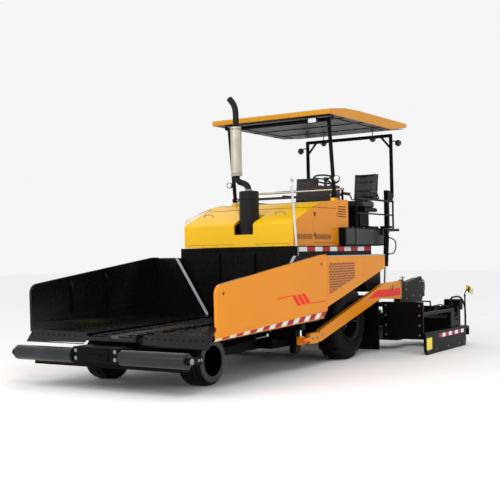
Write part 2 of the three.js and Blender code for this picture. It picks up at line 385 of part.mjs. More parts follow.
// ----------------------------------------------------------- auger and screed
{
  // one half of the spreading auger: shaft with a helical flight
  const x0 = 130, x1 = 1180, turns = 3, n = 33;
  const pos = [], idx = [], t = 7, ri = 26;
  for (let i = 0; i <= n; i++) {
    const a = (i / n) * turns * 2 * Math.PI, x = x0 + 30 + (i / n) * (x1 - x0 - 60);
    for (const [r, e] of [[ri, -t], [AUGER_R, -t], [AUGER_R, t], [ri, t]]) pos.push(x + e, AUGER_Y + r * Math.cos(a), AUGER_Z + r * Math.sin(a));
  }
  for (let i = 0; i < n; i++) for (let k = 0; k < 4; k++) {
    const p = 4 * i + k, q = 4 * i + (k + 1) % 4;
    idx.push(p, q, q + 4, p, q + 4, p + 4);
  }
  idx.push(0, 2, 1, 0, 3, 2, 4 * n, 4 * n + 1, 4 * n + 2, 4 * n, 4 * n + 2, 4 * n + 3);
  let vol = 0;
  for (let i = 0; i < idx.length; i += 3) {
    const v = [0, 1, 2].map((k) => new THREE.Vector3(pos[3 * idx[i + k]], pos[3 * idx[i + k] + 1], pos[3 * idx[i + k] + 2]));
    vol += v[0].dot(v[1].cross(v[2]));
  }
  if (vol < 0) for (let i = 0; i < idx.length; i += 3) [idx[i + 1], idx[i + 2]] = [idx[i + 2], idx[i + 1]];
  const flight = new THREE.BufferGeometry();
  flight.setAttribute('position', new THREE.BufferAttribute(new Float32Array(pos), 3));
  flight.setIndex(idx);
  pair('auger', join(flight, bar([x0, AUGER_Y, AUGER_Z], [x1, AUGER_Y, AUGER_Z], 40, 10)), darkGrey);
}
{
  // main screed: sole plate, box body, crossed by the guide tubes of the extensions
  const bodyPts = [[SCREED_Y0, 185], [SCREED_Y0, SOLE_Z], [SCREED_Y1, SOLE_Z], [SCREED_Y1, 330], [SCREED_Y1 - 40, 560], [SCREED_Y0 + 180, 560], [SCREED_Y0 + 20, 420]];
  let g = prismX(bodyPts, -SCREED_X, SCREED_X);
  const arch = box(-420, 420, 2360, 2700, 550, 760);
  const br = join(prismX([[2356, 700], [2356, 1090], [2430, 1120], [2600, 1064], [3260, 1150], [3300, 1120], [3330, 800], [3290, 740], [2760, 700], [2720, 640], [2720, 300], [2430, 300], [2430, 700]], 1206, SCREED_X),
    prismX([[2480, 760], [2480, 1080], [2600, 1050], [3220, 1128], [3240, 800], [3210, 760]], 1110, 1210), box(1100, 1240, 2440, 2700, 560, 860));
  const tubeA = bar([-1190, 2600, 700], [1190, 2600, 700], 42, 16);
  const step = join(box(-1200, 1200, SCREED_Y1 - 20, 2733, 300, 330));
  g = join(g, arch, br, mirror(br), tubeA, step);
  add('screed', g, black());
  // extension: own sole plate, box, walkway behind it and the sliding shield
  // ahead of the auger
  const e = join(prismX([[EXT_Y0, SOLE_Z], [EXT_Y1, SOLE_Z], [EXT_Y1, 300], [EXT_Y1 - 60, 420], [EXT_Y0, 480]], 905, EXT_OUT),
    box(905, EXT_OUT, EXT_Y1 - 20, 3605, 262, 300), box(905, EXT_OUT, 3575, 3605, 150, 300),
    box(EXT_OUT - 25, EXT_OUT, 1560, 2900, 590, 640), box(EXT_OUT - 25, EXT_OUT, EXT_Y0 + 5, 2900, 440, 640), box(1290, EXT_OUT, 1560, 1590, 235, 805));
  pair('screed_extension', e, black);
  // end plate with its toe and outer step
  const ep = join(prismX([[1550, 150], [1560, 60], [1620, 0], [3300, 0], [3330, 60], [3330, 300], [1550, 330]], END_X0, END_X1),
    box(1962, 2002, 1550, 3330, 300, 332));
  pair('end_plate', ep, black);
}
// ------------------------------------------------------------------- canopy
{
  const prof = [[ROOF_Y0, ROOF_Z0], [2620, ROOF_Z0], [ROOF_Y1 - 40, ROOF_Z0 + 85], [ROOF_Y1, ROOF_Z0 + 100], [ROOF_Y1, ROOF_Z1], [1400, ROOF_Z1], [900, ROOF_Z1 - 18], [ROOF_Y0 + 40, ROOF_Z1 - 78], [ROOF_Y0, ROOF_Z1 - 92]];
  const inside = [[ROOF_Y0 + 25, ROOF_Z0 - 20], [2620, ROOF_Z0 - 20], [ROOF_Y1 - 60, ROOF_Z0 + 40], [ROOF_Y1 - 60, ROOF_Z1 - 25], [1400, ROOF_Z1 - 25], [900, ROOF_Z1 - 43], [ROOF_Y0 + 55, ROOF_Z1 - 103], [ROOF_Y0 + 25, ROOF_Z1 - 117]];
  add('canopy_roof', cut(prismX(prof, -ROOF_X, ROOF_X), prismX(inside, -ROOF_X + 25, ROOF_X - 25)), yellow());
  const fp = (x) => bar([x, FPOST_FOOT_Y, FPOST_FOOT_Z], [x, FPOST_TOP_Y, TOP_PIN_Z], 31, 8);
  add('canopy_front_frame', join(fp(FPOST_X), fp(-FPOST_X), bar([-FPOST_X - 20, FPOST_TOP_Y, TOP_PIN_Z], [FPOST_X + 20, FPOST_TOP_Y, TOP_PIN_Z], 30, 16),
    bar([FPOST_X - 36, FPOST_FOOT_Y, FPOST_FOOT_Z], [FPOST_X + 36, FPOST_FOOT_Y, FPOST_FOOT_Z], 36, 16), bar([-FPOST_X - 36, FPOST_FOOT_Y, FPOST_FOOT_Z], [-FPOST_X + 36, FPOST_FOOT_Y, FPOST_FOOT_Z], 36, 16)), black());
  const rp = (x) => bar([x, KNEE_Y, KNEE_Z], [x, RPOST_TOP_Y, TOP_PIN_Z], 33, 8);
  const brace = bar([RPOST_X, RPOST_TOP_Y, 3350], [RPOST_X - 190, RPOST_TOP_Y, TOP_PIN_Z], 20, 8);
  add('canopy_rear_frame', join(rp(RPOST_X), rp(-RPOST_X), bar([-RPOST_X - 20, RPOST_TOP_Y, TOP_PIN_Z], [RPOST_X + 20, RPOST_TOP_Y, TOP_PIN_Z], 30, 16), brace, mirror(brace)), black());
}

export default paver;
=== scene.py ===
import bpy, bmesh, json, math
from mathutils import Vector, Matrix

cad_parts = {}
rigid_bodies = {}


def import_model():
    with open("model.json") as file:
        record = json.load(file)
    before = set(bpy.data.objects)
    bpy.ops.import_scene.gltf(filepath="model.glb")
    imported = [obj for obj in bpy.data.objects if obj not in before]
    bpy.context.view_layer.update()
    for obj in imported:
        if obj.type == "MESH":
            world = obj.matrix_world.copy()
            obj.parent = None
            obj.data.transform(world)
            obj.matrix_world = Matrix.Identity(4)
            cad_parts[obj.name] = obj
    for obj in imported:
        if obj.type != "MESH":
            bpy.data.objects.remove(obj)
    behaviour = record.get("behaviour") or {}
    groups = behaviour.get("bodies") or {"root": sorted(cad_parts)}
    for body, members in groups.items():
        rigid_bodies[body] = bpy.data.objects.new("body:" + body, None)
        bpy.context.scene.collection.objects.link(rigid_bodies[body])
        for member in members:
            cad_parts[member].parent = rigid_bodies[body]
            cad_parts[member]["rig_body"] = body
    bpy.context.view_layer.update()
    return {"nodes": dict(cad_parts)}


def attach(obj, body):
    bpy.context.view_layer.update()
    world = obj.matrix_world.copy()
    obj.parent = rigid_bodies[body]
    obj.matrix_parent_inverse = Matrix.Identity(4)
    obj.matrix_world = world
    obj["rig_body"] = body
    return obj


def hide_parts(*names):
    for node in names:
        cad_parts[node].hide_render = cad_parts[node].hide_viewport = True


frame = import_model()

N = frame["nodes"]
SC = bpy.context.scene

# --------------------------------------------------------------- materials
def lin(r, g, b):
    f = lambda c: (c / 255 / 12.92) if c <= 10.3 else ((c / 255 + 0.055) / 1.055) ** 2.4
    return (f(r), f(g), f(b))


class Mat:
    """Small helper that writes a node tree."""
    def __init__(s, name):
        s.m = bpy.data.materials.new(name)
        s.m.use_nodes = True
        s.nt = s.m.node_tree
        s.b = next(n for n in s.nt.nodes if n.type == "BSDF_PRINCIPLED")
        s.tc = s.n("ShaderNodeTexCoord")
        s.P = s.tc.outputs["Object"]

    def n(s, kind, **kw):
        k = s.nt.nodes.new(kind)
        for a, v in kw.items():
            setattr(k, a, v)
        return k

    def link(s, a, b):
        s.nt.links.new(a, b)

    def noise(s, scale, detail=4.0, rough=0.55, vec=None, stretch=None):
        k = s.n("ShaderNodeTexNoise")
        k.inputs["Scale"].default_value = scale
        k.inputs["Detail"].default_value = detail
        k.inputs["Roughness"].default_value = rough
        src = vec or s.P
        if stretch:
            mp = s.n("ShaderNodeMapping")
            mp.inputs["Scale"].default_value = stretch
            s.link(src, mp.inputs["Vector"])
            src = mp.outputs["Vector"]
        s.link(src, k.inputs["Vector"])
        return k.outputs["Fac"]

    def rng(s, src, a, b, c=0.0, d=1.0):
        k = s.n("ShaderNodeMapRange")
        for i, v in zip((1, 2, 3, 4), (a, b, c, d)):
            k.inputs[i].default_value = v
        s.link(src, k.inputs[0])
        return k.outputs[0]

    def math(s, op, a, b=None):
        k = s.n("ShaderNodeMath", operation=op)
        for i, v in enumerate((a, b)):
            if v is None:
                continue
            if isinstance(v, (int, float)):
                k.inputs[i].default_value = v
            else:
                s.link(v, k.inputs[i])
        return k.outputs[0]

    def mix(s, fac, a, b):
        k = s.n("ShaderNodeMix", data_type="RGBA")
        if isinstance(fac, (int, float)):
            k.inputs[0].default_value = fac
        else:
            s.link(fac, k.inputs[0])
        for i, v in ((6, a), (7, b)):
            if isinstance(v, tuple):
                k.inputs[i].default_value = (*v, 1)
            else:
                s.link(v, k.inputs[i])
        return k.outputs[2]

    def bump(s, h, strength=0.2, dist=0.002, prev=None):
        k = s.n("ShaderNodeBump")
        k.inputs["Strength"].default_value = strength
        k.inputs["Distance"].default_value = dist
        s.link(h, k.inputs["Height"])
        if prev:
            s.link(prev, k.inputs["Normal"])
        return k.outputs["Normal"]

    def xyz(s):
        k = s.n("ShaderNodeSeparateXYZ")
        s.link(s.P, k.inputs[0])
        return k.outputs

    def holes(s, u, v, pitch, r):
        """1 inside round holes on a staggered grid of the two coordinates."""
        def layer(off):
            cu = s.math("SUBTRACT", s.math("FRACT", s.math("ADD", s.math("DIVIDE", u, pitch), 100 + off)), 0.5)
            cv = s.math("SUBTRACT", s.math("FRACT", s.math("ADD", s.math("DIVIDE", v, pitch * 1.732), 100 + off)), 0.5)
            cv = s.math("MULTIPLY", cv, 1.732)
            d = s.math("SQRT", s.math("ADD", s.math("MULTIPLY", cu, cu), s.math("MULTIPLY", cv, cv)))
            return s.math("LESS_THAN", d, r / pitch)
        return s.math("MAXIMUM", layer(0.0), layer(0.5))


def surf(name, rgb, rough=0.4, metal=0.0, var=0.08, scale=1.3, bump=0.12, bscale=60, dust_and_sheen=0.0,
         dust_and_sheen_rgb=(120, 108, 92), low=None, streak=0.0, coat=0.0, spec=None, bdist=0.001):
    m = Mat(name)
    c = lin(*rgb)
    big = m.rng(m.noise(scale, 5), 0.3, 0.7)
    dark = tuple(x * (1 - var) for x in c)
    light = tuple(min(1, x * (1 + var)) for x in c)
    col = m.mix(big, dark, light)
    fine = m.noise(scale * 14, 6, 0.65)
    # patches of the second colour from the fine noise: real dust on most finishes, painted sheen where that colour is
    # bluish grey (hopper and conveyor steel)
    if dust_and_sheen:
        f = m.math("MULTIPLY", m.rng(fine, 0.42, 0.75), dust_and_sheen)
        col = m.mix(f, col, lin(*dust_and_sheen_rgb))
    if streak:
        st = m.noise(7, 6, 0.6, stretch=(1.0, 0.12, 1.6))
        f = m.math("MULTIPLY", m.rng(st, 0.5, 0.72), streak)
        col = m.mix(f, col, lin(172, 172, 170))
    if low:
        z = m.rng(m.xyz()[2], low[0], low[1], 1.0, 0.0)
        f = m.math("MULTIPLY", m.math("MULTIPLY", z, m.rng(m.noise(9, 6), 0.35, 0.7)), low[2])
        col = m.mix(f, col, lin(*dust_and_sheen_rgb))
    m.link(col, m.b.inputs["Base Color"])
    m.link(m.rng(fine, 0.2, 0.8, max(0.03, rough - 0.07), rough + 0.12), m.b.inputs["Roughness"])
    m.b.inputs["Metallic"].default_value = metal
    if coat:
        m.b.inputs["Coat Weight"].default_value = coat
        m.b.inputs["Coat Roughness"].default_value = 0.08
    if spec is not None:
        m.b.inputs["Specular IOR Level"].default_value = spec
    if bump:
        m.link(m.bump(m.noise(bscale, 3), bump, bdist), m.b.inputs["Normal"])
    return m


YEL = surf("paint_yellow", (246, 190, 4), 0.30, 0, 0.04, 0.8, 0.04, 220, dust_and_sheen=0.015, coat=0.12, spec=0.28).m
ROF = surf("paint_amber", (206, 138, 6), 0.32, 0, 0.04, 0.8, 0.04, 220, dust_and_sheen=0.015, coat=0.06, spec=0.22).m
ORA = surf("paint_orange", (222, 136, 10), 0.34, 0, 0.04, 0.8, 0.04, 220, dust_and_sheen=0.015, coat=0.06, spec=0.2).m
BLK = surf("paint_black", (7, 7, 8), 0.34, 0, 0.25, 2.0, 0.06, 120, dust_and_sheen=0.01, low=(0.9, 0.1, 0.02), spec=0.06).m
# hopper and conveyor steel: the faint bluish-grey patches are painted sheen, not dust
HOP = surf("hopper_steel", (9, 10, 13), 0.22, 0.0, 0.2, 1.4, 0.03, 30, dust_and_sheen=0.01, streak=0.0, dust_and_sheen_rgb=(40, 44, 56), spec=0.22).m
DECKM = surf("conveyor_steel", (14, 17, 28), 0.26, 0.1, 0.2, 2.5, 0.05, 50, dust_and_sheen=0.02, streak=0.03, dust_and_sheen_rgb=(52, 58, 78), spec=0.3).m
DGR = surf("paint_darkgrey", (42, 44, 45), 0.42, 0, 0.12, 2.0, 0.08, 140, dust_and_sheen=0.05, spec=0.25).m
MUF = surf("muffler_grey", (16, 16, 18), 0.45, 0.1, 0.12, 3.0, 0.2, 160, dust_and_sheen=0.08, spec=0.2).m
EXH = surf("exhaust_black", (14, 14, 15), 0.5, 0.2, 0.2, 4.0, 0.2, 160, dust_and_sheen=0.08, dust_and_sheen_rgb=(70, 58, 48), spec=0.25).m
ROL = surf("roller_tube", (48, 50, 53), 0.20, 0.7, 0.25, 3.0, 0.06, 40, dust_and_sheen=0.10, dust_and_sheen_rgb=(40, 40, 42)).m
CHR = surf("chrome_rod", (225, 227, 230), 0.12, 1.0, 0.03, 4.0, 0.03, 200).m
STL = surf("zinc_steel", (150, 152, 156), 0.35, 0.8, 0.12, 6.0, 0.12, 150, dust_and_sheen=0.15).m
WRN = surf("worn_cast", (78, 74, 70), 0.5, 0.7, 0.3, 5.0, 0.35, 90, dust_and_sheen=0.25, dust_and_sheen_rgb=(110, 82, 60)).m
RUB = surf("tyre_rubber", (10, 10, 11), 0.6, 0, 0.2, 5.0, 0.3, 180, dust_and_sheen=0.04, low=(0.7, 0.0, 0.05), dust_and_sheen_rgb=(44, 42, 39), spec=0.12).m
SOL = surf("solid_rubber", (8, 8, 9), 0.5, 0, 0.2, 5.0, 0.2, 180, dust_and_sheen=0.02, dust_and_sheen_rgb=(40, 38, 36), spec=0.10).m
RIM = surf("rim_black", (16, 16, 17), 0.4, 0.0, 0.1, 4.0, 0.08, 140, dust_and_sheen=0.05, dust_and_sheen_rgb=(54, 52, 49), spec=0.2).m
HUBM = surf("hub_black", (30, 31, 33), 0.42, 0.1, 0.2, 4.0, 0.08, 140, dust_and_sheen=0.15).m
PLA = surf("console_plastic", (40, 41, 43), 0.55, 0, 0.08, 5.0, 0.35, 420, dust_and_sheen=0.06, bdist=0.0006).m
GLS = surf("moulded_black", (18, 18, 19), 0.3, 0, 0.1, 5.0, 0.05, 200).m
RED = surf("red_film", (178, 10, 44), 0.32, 0, 0.06, 5.0, 0.03, 200, dust_and_sheen=0.02, spec=0.2).m
RED2 = surf("red_stripe", (232, 26, 14), 0.34, 0, 0.05, 5.0, 0.03, 200, dust_and_sheen=0.01, spec=0.18).m
WHT = surf("white_film", (238, 238, 236), 0.32, 0, 0.04, 5.0, 0.03, 200, dust_and_sheen=0.05).m
YST = surf("yellow_film", (248, 222, 20), 0.32, 0, 0.04, 5.0, 0.03, 200, dust_and_sheen=0.05).m
# flat near-black: the real colour of panel seams and printed stripes, and painted shade where it fills slots, louvre
# gaps, eye holes and tread grooves
DRK = surf("dark_recess", (10, 10, 11), 0.7, 0, 0.2, 5.0, 0.1, 90).m
LGR = surf("light_grey_paint", (176, 178, 180), 0.4, 0.1, 0.06, 3.0, 0.05, 140, dust_and_sheen=0.12).m
ORB = surf("orange_gloss", (240, 84, 2), 0.28, 0, 0.06, 4.0, 0.05, 140).m
PIP = surf("pipe_black", (16, 16, 17), 0.36, 0.2, 0.1, 8.0, 0.1, 200, spec=0.3).m


def perforated(name, rgb, hole_shade, pitch, r, mode, cx=0.0, cy=0.0, rad=1.0, metal=0.8, rough=0.35):
    m = Mat(name)
    x, y, z = m.xyz()
    if mode == "cyl":
        ang = m.math("ARCTAN2", m.math("SUBTRACT", y, cy), m.math("SUBTRACT", x, cx))
        u = m.math("MULTIPLY", ang, rad)
    else:
        u = y
    h = m.holes(u, z, pitch, r)
    base = m.mix(m.rng(m.noise(9, 5), 0.3, 0.7), tuple(0.8 * c for c in lin(*rgb)), lin(*rgb))
    # the holes are filled with a flat dark colour, matt and not metallic: painted shade for the dark seen through them
    m.link(m.mix(h, base, lin(*hole_shade)), m.b.inputs["Base Color"])
    m.link(m.rng(h, 0, 1, metal, 0.0), m.b.inputs["Metallic"])
    m.link(m.rng(h, 0, 1, rough, 0.8), m.b.inputs["Roughness"])
    m.link(m.bump(h, -0.5, 0.002), m.b.inputs["Normal"])
    return m.m


# the third colour of each is the dark fill of the holes: painted shade
SHD = perforated("shield_mesh", (226, 220, 200), (60, 52, 40), 0.024, 0.0065, "cyl", -0.1, -0.362, 0.08, 0.75, 0.33)
GRI = perforated("grille_mesh", (206, 120, 22), (60, 26, 8), 0.040, 0.0125, "flat", metal=0.0, rough=0.4)


def tread_plate(name, rgb, rough=0.45):
    m = Mat(name)
    x, y, z = m.xyz()
    p = 0.045
    def bars(sign):
        a = m.math("ADD", x, m.math("MULTIPLY", y, sign))
        b = m.math("SUBTRACT", x, m.math("MULTIPLY", y, sign))
        fa = m.math("ABSOLUTE", m.math("SUBTRACT", m.math("FRACT", m.math("ADD", m.math("DIVIDE", a, p), 100 + sign * 0.25)), 0.5))
        fb = m.math("ABSOLUTE", m.math("SUBTRACT", m.math("FRACT", m.math("ADD", m.math("DIVIDE", b, p), 100 - sign * 0.25)), 0.5))
        return m.math("MULTIPLY", m.math("LESS_THAN", fa, 0.10), m.math("LESS_THAN", fb, 0.33))
    h = m.math("MAXIMUM", bars(1.0), bars(-1.0))
    base = m.mix(m.rng(m.noise(3, 5), 0.3, 0.7), tuple(0.7 * c for c in lin(*rgb)), tuple(1.25 * c for c in lin(*rgb)))
    m.link(m.mix(m.math("MULTIPLY", h, 0.45), base, lin(110, 110, 112)), m.b.inputs["Base Color"])
    m.link(m.rng(m.noise(40, 4), 0.2, 0.8, rough - 0.08, rough + 0.12), m.b.inputs["Roughness"])
    m.link(m.bump(h, 0.6, 0.002), m.b.inputs["Normal"])
    return m.m


TRD = tread_plate("chequer_plate", (34, 35, 37))


def vinyl():
    m = Mat("seat_vinyl")
    col = m.mix(m.rng(m.noise(6, 5), 0.3, 0.7), lin(20, 20, 22), lin(34, 34, 37))
    m.link(col, m.b.inputs["Base Color"])
    v = m.n("ShaderNodeTexVoronoi")
    v.inputs["Scale"].default_value = 260
    m.link(m.P, v.inputs["Vector"])
    n1 = m.bump(v.outputs["Distance"], 0.35, 0.0008)
    m.link(m.bump(m.noise(14, 4), 0.25, 0.006, n1), m.b.inputs["Normal"])
    m.link(m.rng(m.noise(30, 4), 0.2, 0.8, 0.36, 0.5), m.b.inputs["Roughness"])
    return m.m


VIN = vinyl()


def lens():
    m = Mat("lamp_lens")
    m.link(m.mix(m.rng(m.noise(40, 3), 0.3, 0.7), (0.75, 0.78, 0.8), (0.92, 0.94, 0.95)), m.b.inputs["Base Color"])
    m.b.inputs["Roughness"].default_value = 0.08
    x, y, z = m.xyz()
    rib = m.math("FRACT", m.math("MULTIPLY", m.math("ADD", x, 50.0), 90))
    m.link(m.bump(rib, 0.3, 0.002), m.b.inputs["Normal"])
    m.b.inputs["Metallic"].default_value = 0.35
    return m.m


LNS = lens()


# -------------------------------------------------------------- mesh builder
class MB:
    def __init__(s):
        s.v, s.f = [], []

    def add(s, vs, fs):
        o = len(s.v)
        s.v += [tuple(p) for p in vs]
        s.f += [tuple(i + o for i in q) for q in fs]
        return s

    def bm(s, b, m=None):
        b.verts.index_update()
        s.add([(m @ v.co) if m else v.co.copy() for v in b.verts], [[v.index for v in f.verts] for f in b.faces])
        b.free()
        return s

    def box(s, x0, x1, y0, y1, z0, z1, b=0.003, m=None, seg=1):
        k = bmesh.new()
        bmesh.ops.create_cube(k, size=1)
        for v in k.verts:
            v.co = Vector(((x0 + x1) / 2 + v.co.x * (x1 - x0), (y0 + y1) / 2 + v.co.y * (y1 - y0), (z0 + z1) / 2 + v.co.z * (z1 - z0)))
        w = min(b, 0.45 * min(abs(x1 - x0), abs(y1 - y0), abs(z1 - z0)))
        if w > 1e-5:
            bmesh.ops.bevel(k, geom=list(k.edges), offset=w, segments=seg, profile=0.5, affect="EDGES")
        return s.bm(k, m)

    def prism(s, pts, axis, a, b, m=None):
        """Outline in the two other axes (in X, Y, Z order), pushed along axis."""
        def P(u, v, w):
            return {"x": (w, u, v), "y": (u, w, v), "z": (u, v, w)}[axis]
        n = len(pts)
        vs = [Vector(P(u, v, a)) for u, v in pts] + [Vector(P(u, v, b)) for u, v in pts]
        if m:
            vs = [m @ v for v in vs]
        return s.add(vs, [tuple(range(n)), tuple(range(2 * n - 1, n - 1, -1))] + [(i, (i + 1) % n, n + (i + 1) % n, n + i) for i in range(n)])

    def cyl(s, p, q, r, n=16, r2=None, b=0.0):
        p, q = Vector(p), Vector(q)
        d = (q - p)
        L = d.length
        d.normalize()
        u = d.orthogonal().normalized()
        w = d.cross(u)
        r2 = r if r2 is None else r2
        prof = [(0, 0, )] and ([(r - b, 0.0), (r, b), (r2, L - b), (r2 - b, L)] if b else [(r, 0.0), (r2, L)])
        vs, fs = [], []
        for rr, t in prof:
            for i in range(n):
                a = 2 * math.pi * i / n
                vs.append(p + d * t + (u * math.cos(a) + w * math.sin(a)) * rr)
        k = len(prof)
        for j in range(k - 1):
            for i in range(n):
                fs.append((j * n + i, j * n + (i + 1) % n, (j + 1) * n + (i + 1) % n, (j + 1) * n + i))
        fs.append(tuple(range(n - 1, -1, -1)))
        fs.append(tuple((k - 1) * n + i for i in range(n)))
        return s.add(vs, fs)

    def turn(s, prof, c, axis, n=32):
        """Closed lathe: prof is [(radius, t)] about a line through c."""
        c, d = Vector(c), Vector(axis).normalized()
        u = d.orthogonal().normalized()
        w = d.cross(u)
        vs, fs = [], []
        for rr, t in prof:
            for i in range(n):
                a = 2 * math.pi * i / n
                vs.append(c + d * t + (u * math.cos(a) + w * math.sin(a)) * max(rr, 1e-4))
        k = len(prof)
        for j in range(k - 1):
            for i in range(n):
                fs.append((j * n + i, j * n + (i + 1) % n, (j + 1) * n + (i + 1) % n, (j + 1) * n + i))
        fs.append(tuple(range(n - 1, -1, -1)))
        fs.append(tuple((k - 1) * n + i for i in range(n)))
        return s.add(vs, fs)

    def tube(s, pts, r, n=10, sub=6, closed=False):
        P = [Vector(p) for p in pts]
        if sub > 1:
            out = []
            m = len(P)
            for i in range(m if closed else m - 1):
                p0 = P[(i - 1) % m] if closed or i > 0 else P[i]
                p1, p2 = P[i % m], P[(i + 1) % m]
                p3 = P[(i + 2) % m] if closed or i + 2 < m else p2
                for k in range(sub):
                    t = k / sub
                    out.append(0.5 * ((2 * p1) + (p2 - p0) * t + (2 * p0 - 5 * p1 + 4 * p2 - p3) * t * t + (3 * p1 - p0 - 3 * p2 + p3) * t ** 3))
            if not closed:
                out.append(P[-1])
            P = out
        m = len(P)
        vs, fs = [], []
        u = None
        for i in range(m):
            a = P[(i - 1) % m] if closed or i > 0 else P[i]
            b = P[(i + 1) % m] if closed or i < m - 1 else P[i]
            d = (b - a).normalized()
            if u is None:
                u = d.orthogonal().normalized()
            u = (u - d * u.dot(d)).normalized()
            w = d.cross(u)
            for k in range(n):
                t = 2 * math.pi * k / n
                vs.append(P[i] + (u * math.cos(t) + w * math.sin(t)) * r)
        for i in range(m if closed else m - 1):
            j = (i + 1) % m
            for k in range(n):
                fs.append((i * n + k, i * n + (k + 1) % n, j * n + (k + 1) % n, j * n + k))
        if not closed:
            fs.append(tuple(range(n - 1, -1, -1)))
            fs.append(tuple((m - 1) * n + k for k in range(n)))
        return s.add(vs, fs)

    def ring(s, c, axis, R, r, n=32, k=8):
        c, d = Vector(c), Vector(axis).normalized()
        u = d.orthogonal().normalized()
        w = d.cross(u)
        return s.tube([c + (u * math.cos(2 * math.pi * i / n) + w * math.sin(2 * math.pi * i / n)) * R for i in range(n)], r, k, 1, True)

    def bolt(s, p, d, r=0.012, h=0.009, washer=True):
        p, d = Vector(p), Vector(d).normalized()
        if washer:
            s.cyl(p, p + d * h * 0.25, r * 1.45, 16)
        return s.cyl(p, p + d * h, r, 6, b=r * 0.12)

    def rivet(s, p, d, r=0.009):
        p, d = Vector(p), Vector(d).normalized()
        return s.turn([(r, 0), (r, r * 0.2), (r * 0.7, r * 0.5), (r * 0.25, r * 0.62)], p, d, 10)

    def ball(s, c, r, n=20):
        return s.turn([(r * math.sin(math.pi * i / 10), -r * math.cos(math.pi * i / 10)) for i in range(11)], c, (0, 0, 1), n)

    def mirror(s):
        o = MB()
        o.v = [(-x, y, z) for x, y, z in s.v]
        o.f = [tuple(reversed(f)) for f in s.f]
        return o


def mesh_from(name, vs, fs, mats, idx=None, smooth=38):
    me = bpy.data.meshes.new(name)
    me.from_pydata(vs, [], fs)
    me.update()
    for m in mats:
        me.materials.append(m)
    if idx:
        me.polygons.foreach_set("material_index", idx)
    k = bmesh.new()
    k.from_mesh(me)
    bmesh.ops.recalc_face_normals(k, faces=k.faces)
    k.to_mesh(me)
    k.free()
    me.shade_smooth()
    me.set_sharp_from_angle(angle=math.radians(smooth))
    return me


def piece(name, mb, mat, body, smooth=38):
    o = bpy.data.objects.new(name, mesh_from(name, mb.v, mb.f, [mat], smooth=smooth))
    SC.collection.objects.link(o)
    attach(o, body)
    return o


def pair(name, mb, mat, body, smooth=38):
    """Left piece, and its mirror image on the right-hand body."""
    piece(name + "_L", mb, mat, body.replace("*", "L"), smooth)
    piece(name + "_R", mb.mirror(), mat, body.replace("*", "R"), smooth)


def skin(node, mats, bevel=0.004, seg=2, angle=35, pick=None, smooth=40, slot_name=None):
    """A clean copy of a CAD node with rounded edges and its own finish."""
    src = N[node]
    k = bmesh.new()
    k.from_mesh(src.data)
    bmesh.ops.remove_doubles(k, verts=k.verts, dist=2e-5)
    bmesh.ops.dissolve_limit(k, angle_limit=math.radians(0.6), verts=k.verts, edges=k.edges)
    k.verts.index_update()
    vs = [tuple(v.co) for v in k.verts]
    fs = [tuple(v.index for v in f.verts) for f in k.faces]
    k.normal_update()
    mats = mats if isinstance(mats, (list, tuple)) else [mats]
    idx = None
    if pick:
        idx = [pick(f.calc_center_median(), f.normal) for f in k.faces]
    k.free()
    me = mesh_from(node + "_skin", vs, fs, mats, idx, smooth)
    o = bpy.data.objects.new(node + "_skin", me)
    SC.collection.objects.link(o)
    if bevel:
        b = o.modifiers.new("edge", "BEVEL")
        b.width = bevel
        b.segments = seg
        b.limit_method = "ANGLE"
        b.angle_limit = math.radians(angle)
        b.use_clamp_overlap = True
        b.harden_normals = True
    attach(o, src["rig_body"])
    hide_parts(node)
    return o


def skins(stem, *a, **k):
    return [skin(stem + "_L", *a, **k), skin(stem + "_R", *a, **k)]


# ------------------------------------------------------------ chassis and body
skin("main_frame", BLK, 0.003)
skin("push_beam", BLK, 0.005)
skin("conveyor_deck", DECKM, 0.003, slot_name="dark_grey_paint")
skin("deck_body", BLK, 0.004)
skin("front_axle", BLK, 0.004)
skin("engine_block", DGR, 0.006)
skins("push_roller", ROL, 0.004, slot_name="roller_steel")
skins("final_drive", DGR, 0.004)
skins("knuckle", BLK, 0.003)

# bulkhead bolts, seams and the cover strip round the conveyor mouth
b = MB()
for x in (-0.07, 0.0, 0.07):
    for z in (1.45, 1.54):
        b.bolt((x, -0.5432, z), (0, -1, 0), 0.013, 0.01)
for x in (-0.62, -0.45, 0.45, 0.62):
    for z in (1.16, 1.34, 1.58):
        b.bolt((x, -0.5432, z), (0, -1, 0), 0.012, 0.009)
piece("bulkhead_bolts", b, BLK, "chassis")
b = MB()
b.box(-0.44, 0.44, -0.5545, -0.5432, 1.062, 1.10, 0.004)
b.box(-0.44, -0.402, -0.5545, -0.5432, 0.80, 1.062, 0.004).box(0.402, 0.44, -0.5545, -0.5432, 0.80, 1.062, 0.004)
b.box(-0.60, 0.60, -0.5535, -0.5432, 1.632, 1.668, 0.004)
for x in (-0.30, 0.30):
    b.prism([(-0.543, 1.12), (-0.583, 1.16), (-0.583, 1.56), (-0.543, 1.60)], "x", x - 0.008, x + 0.008)
piece("bulkhead_frame", b, BLK, "chassis")

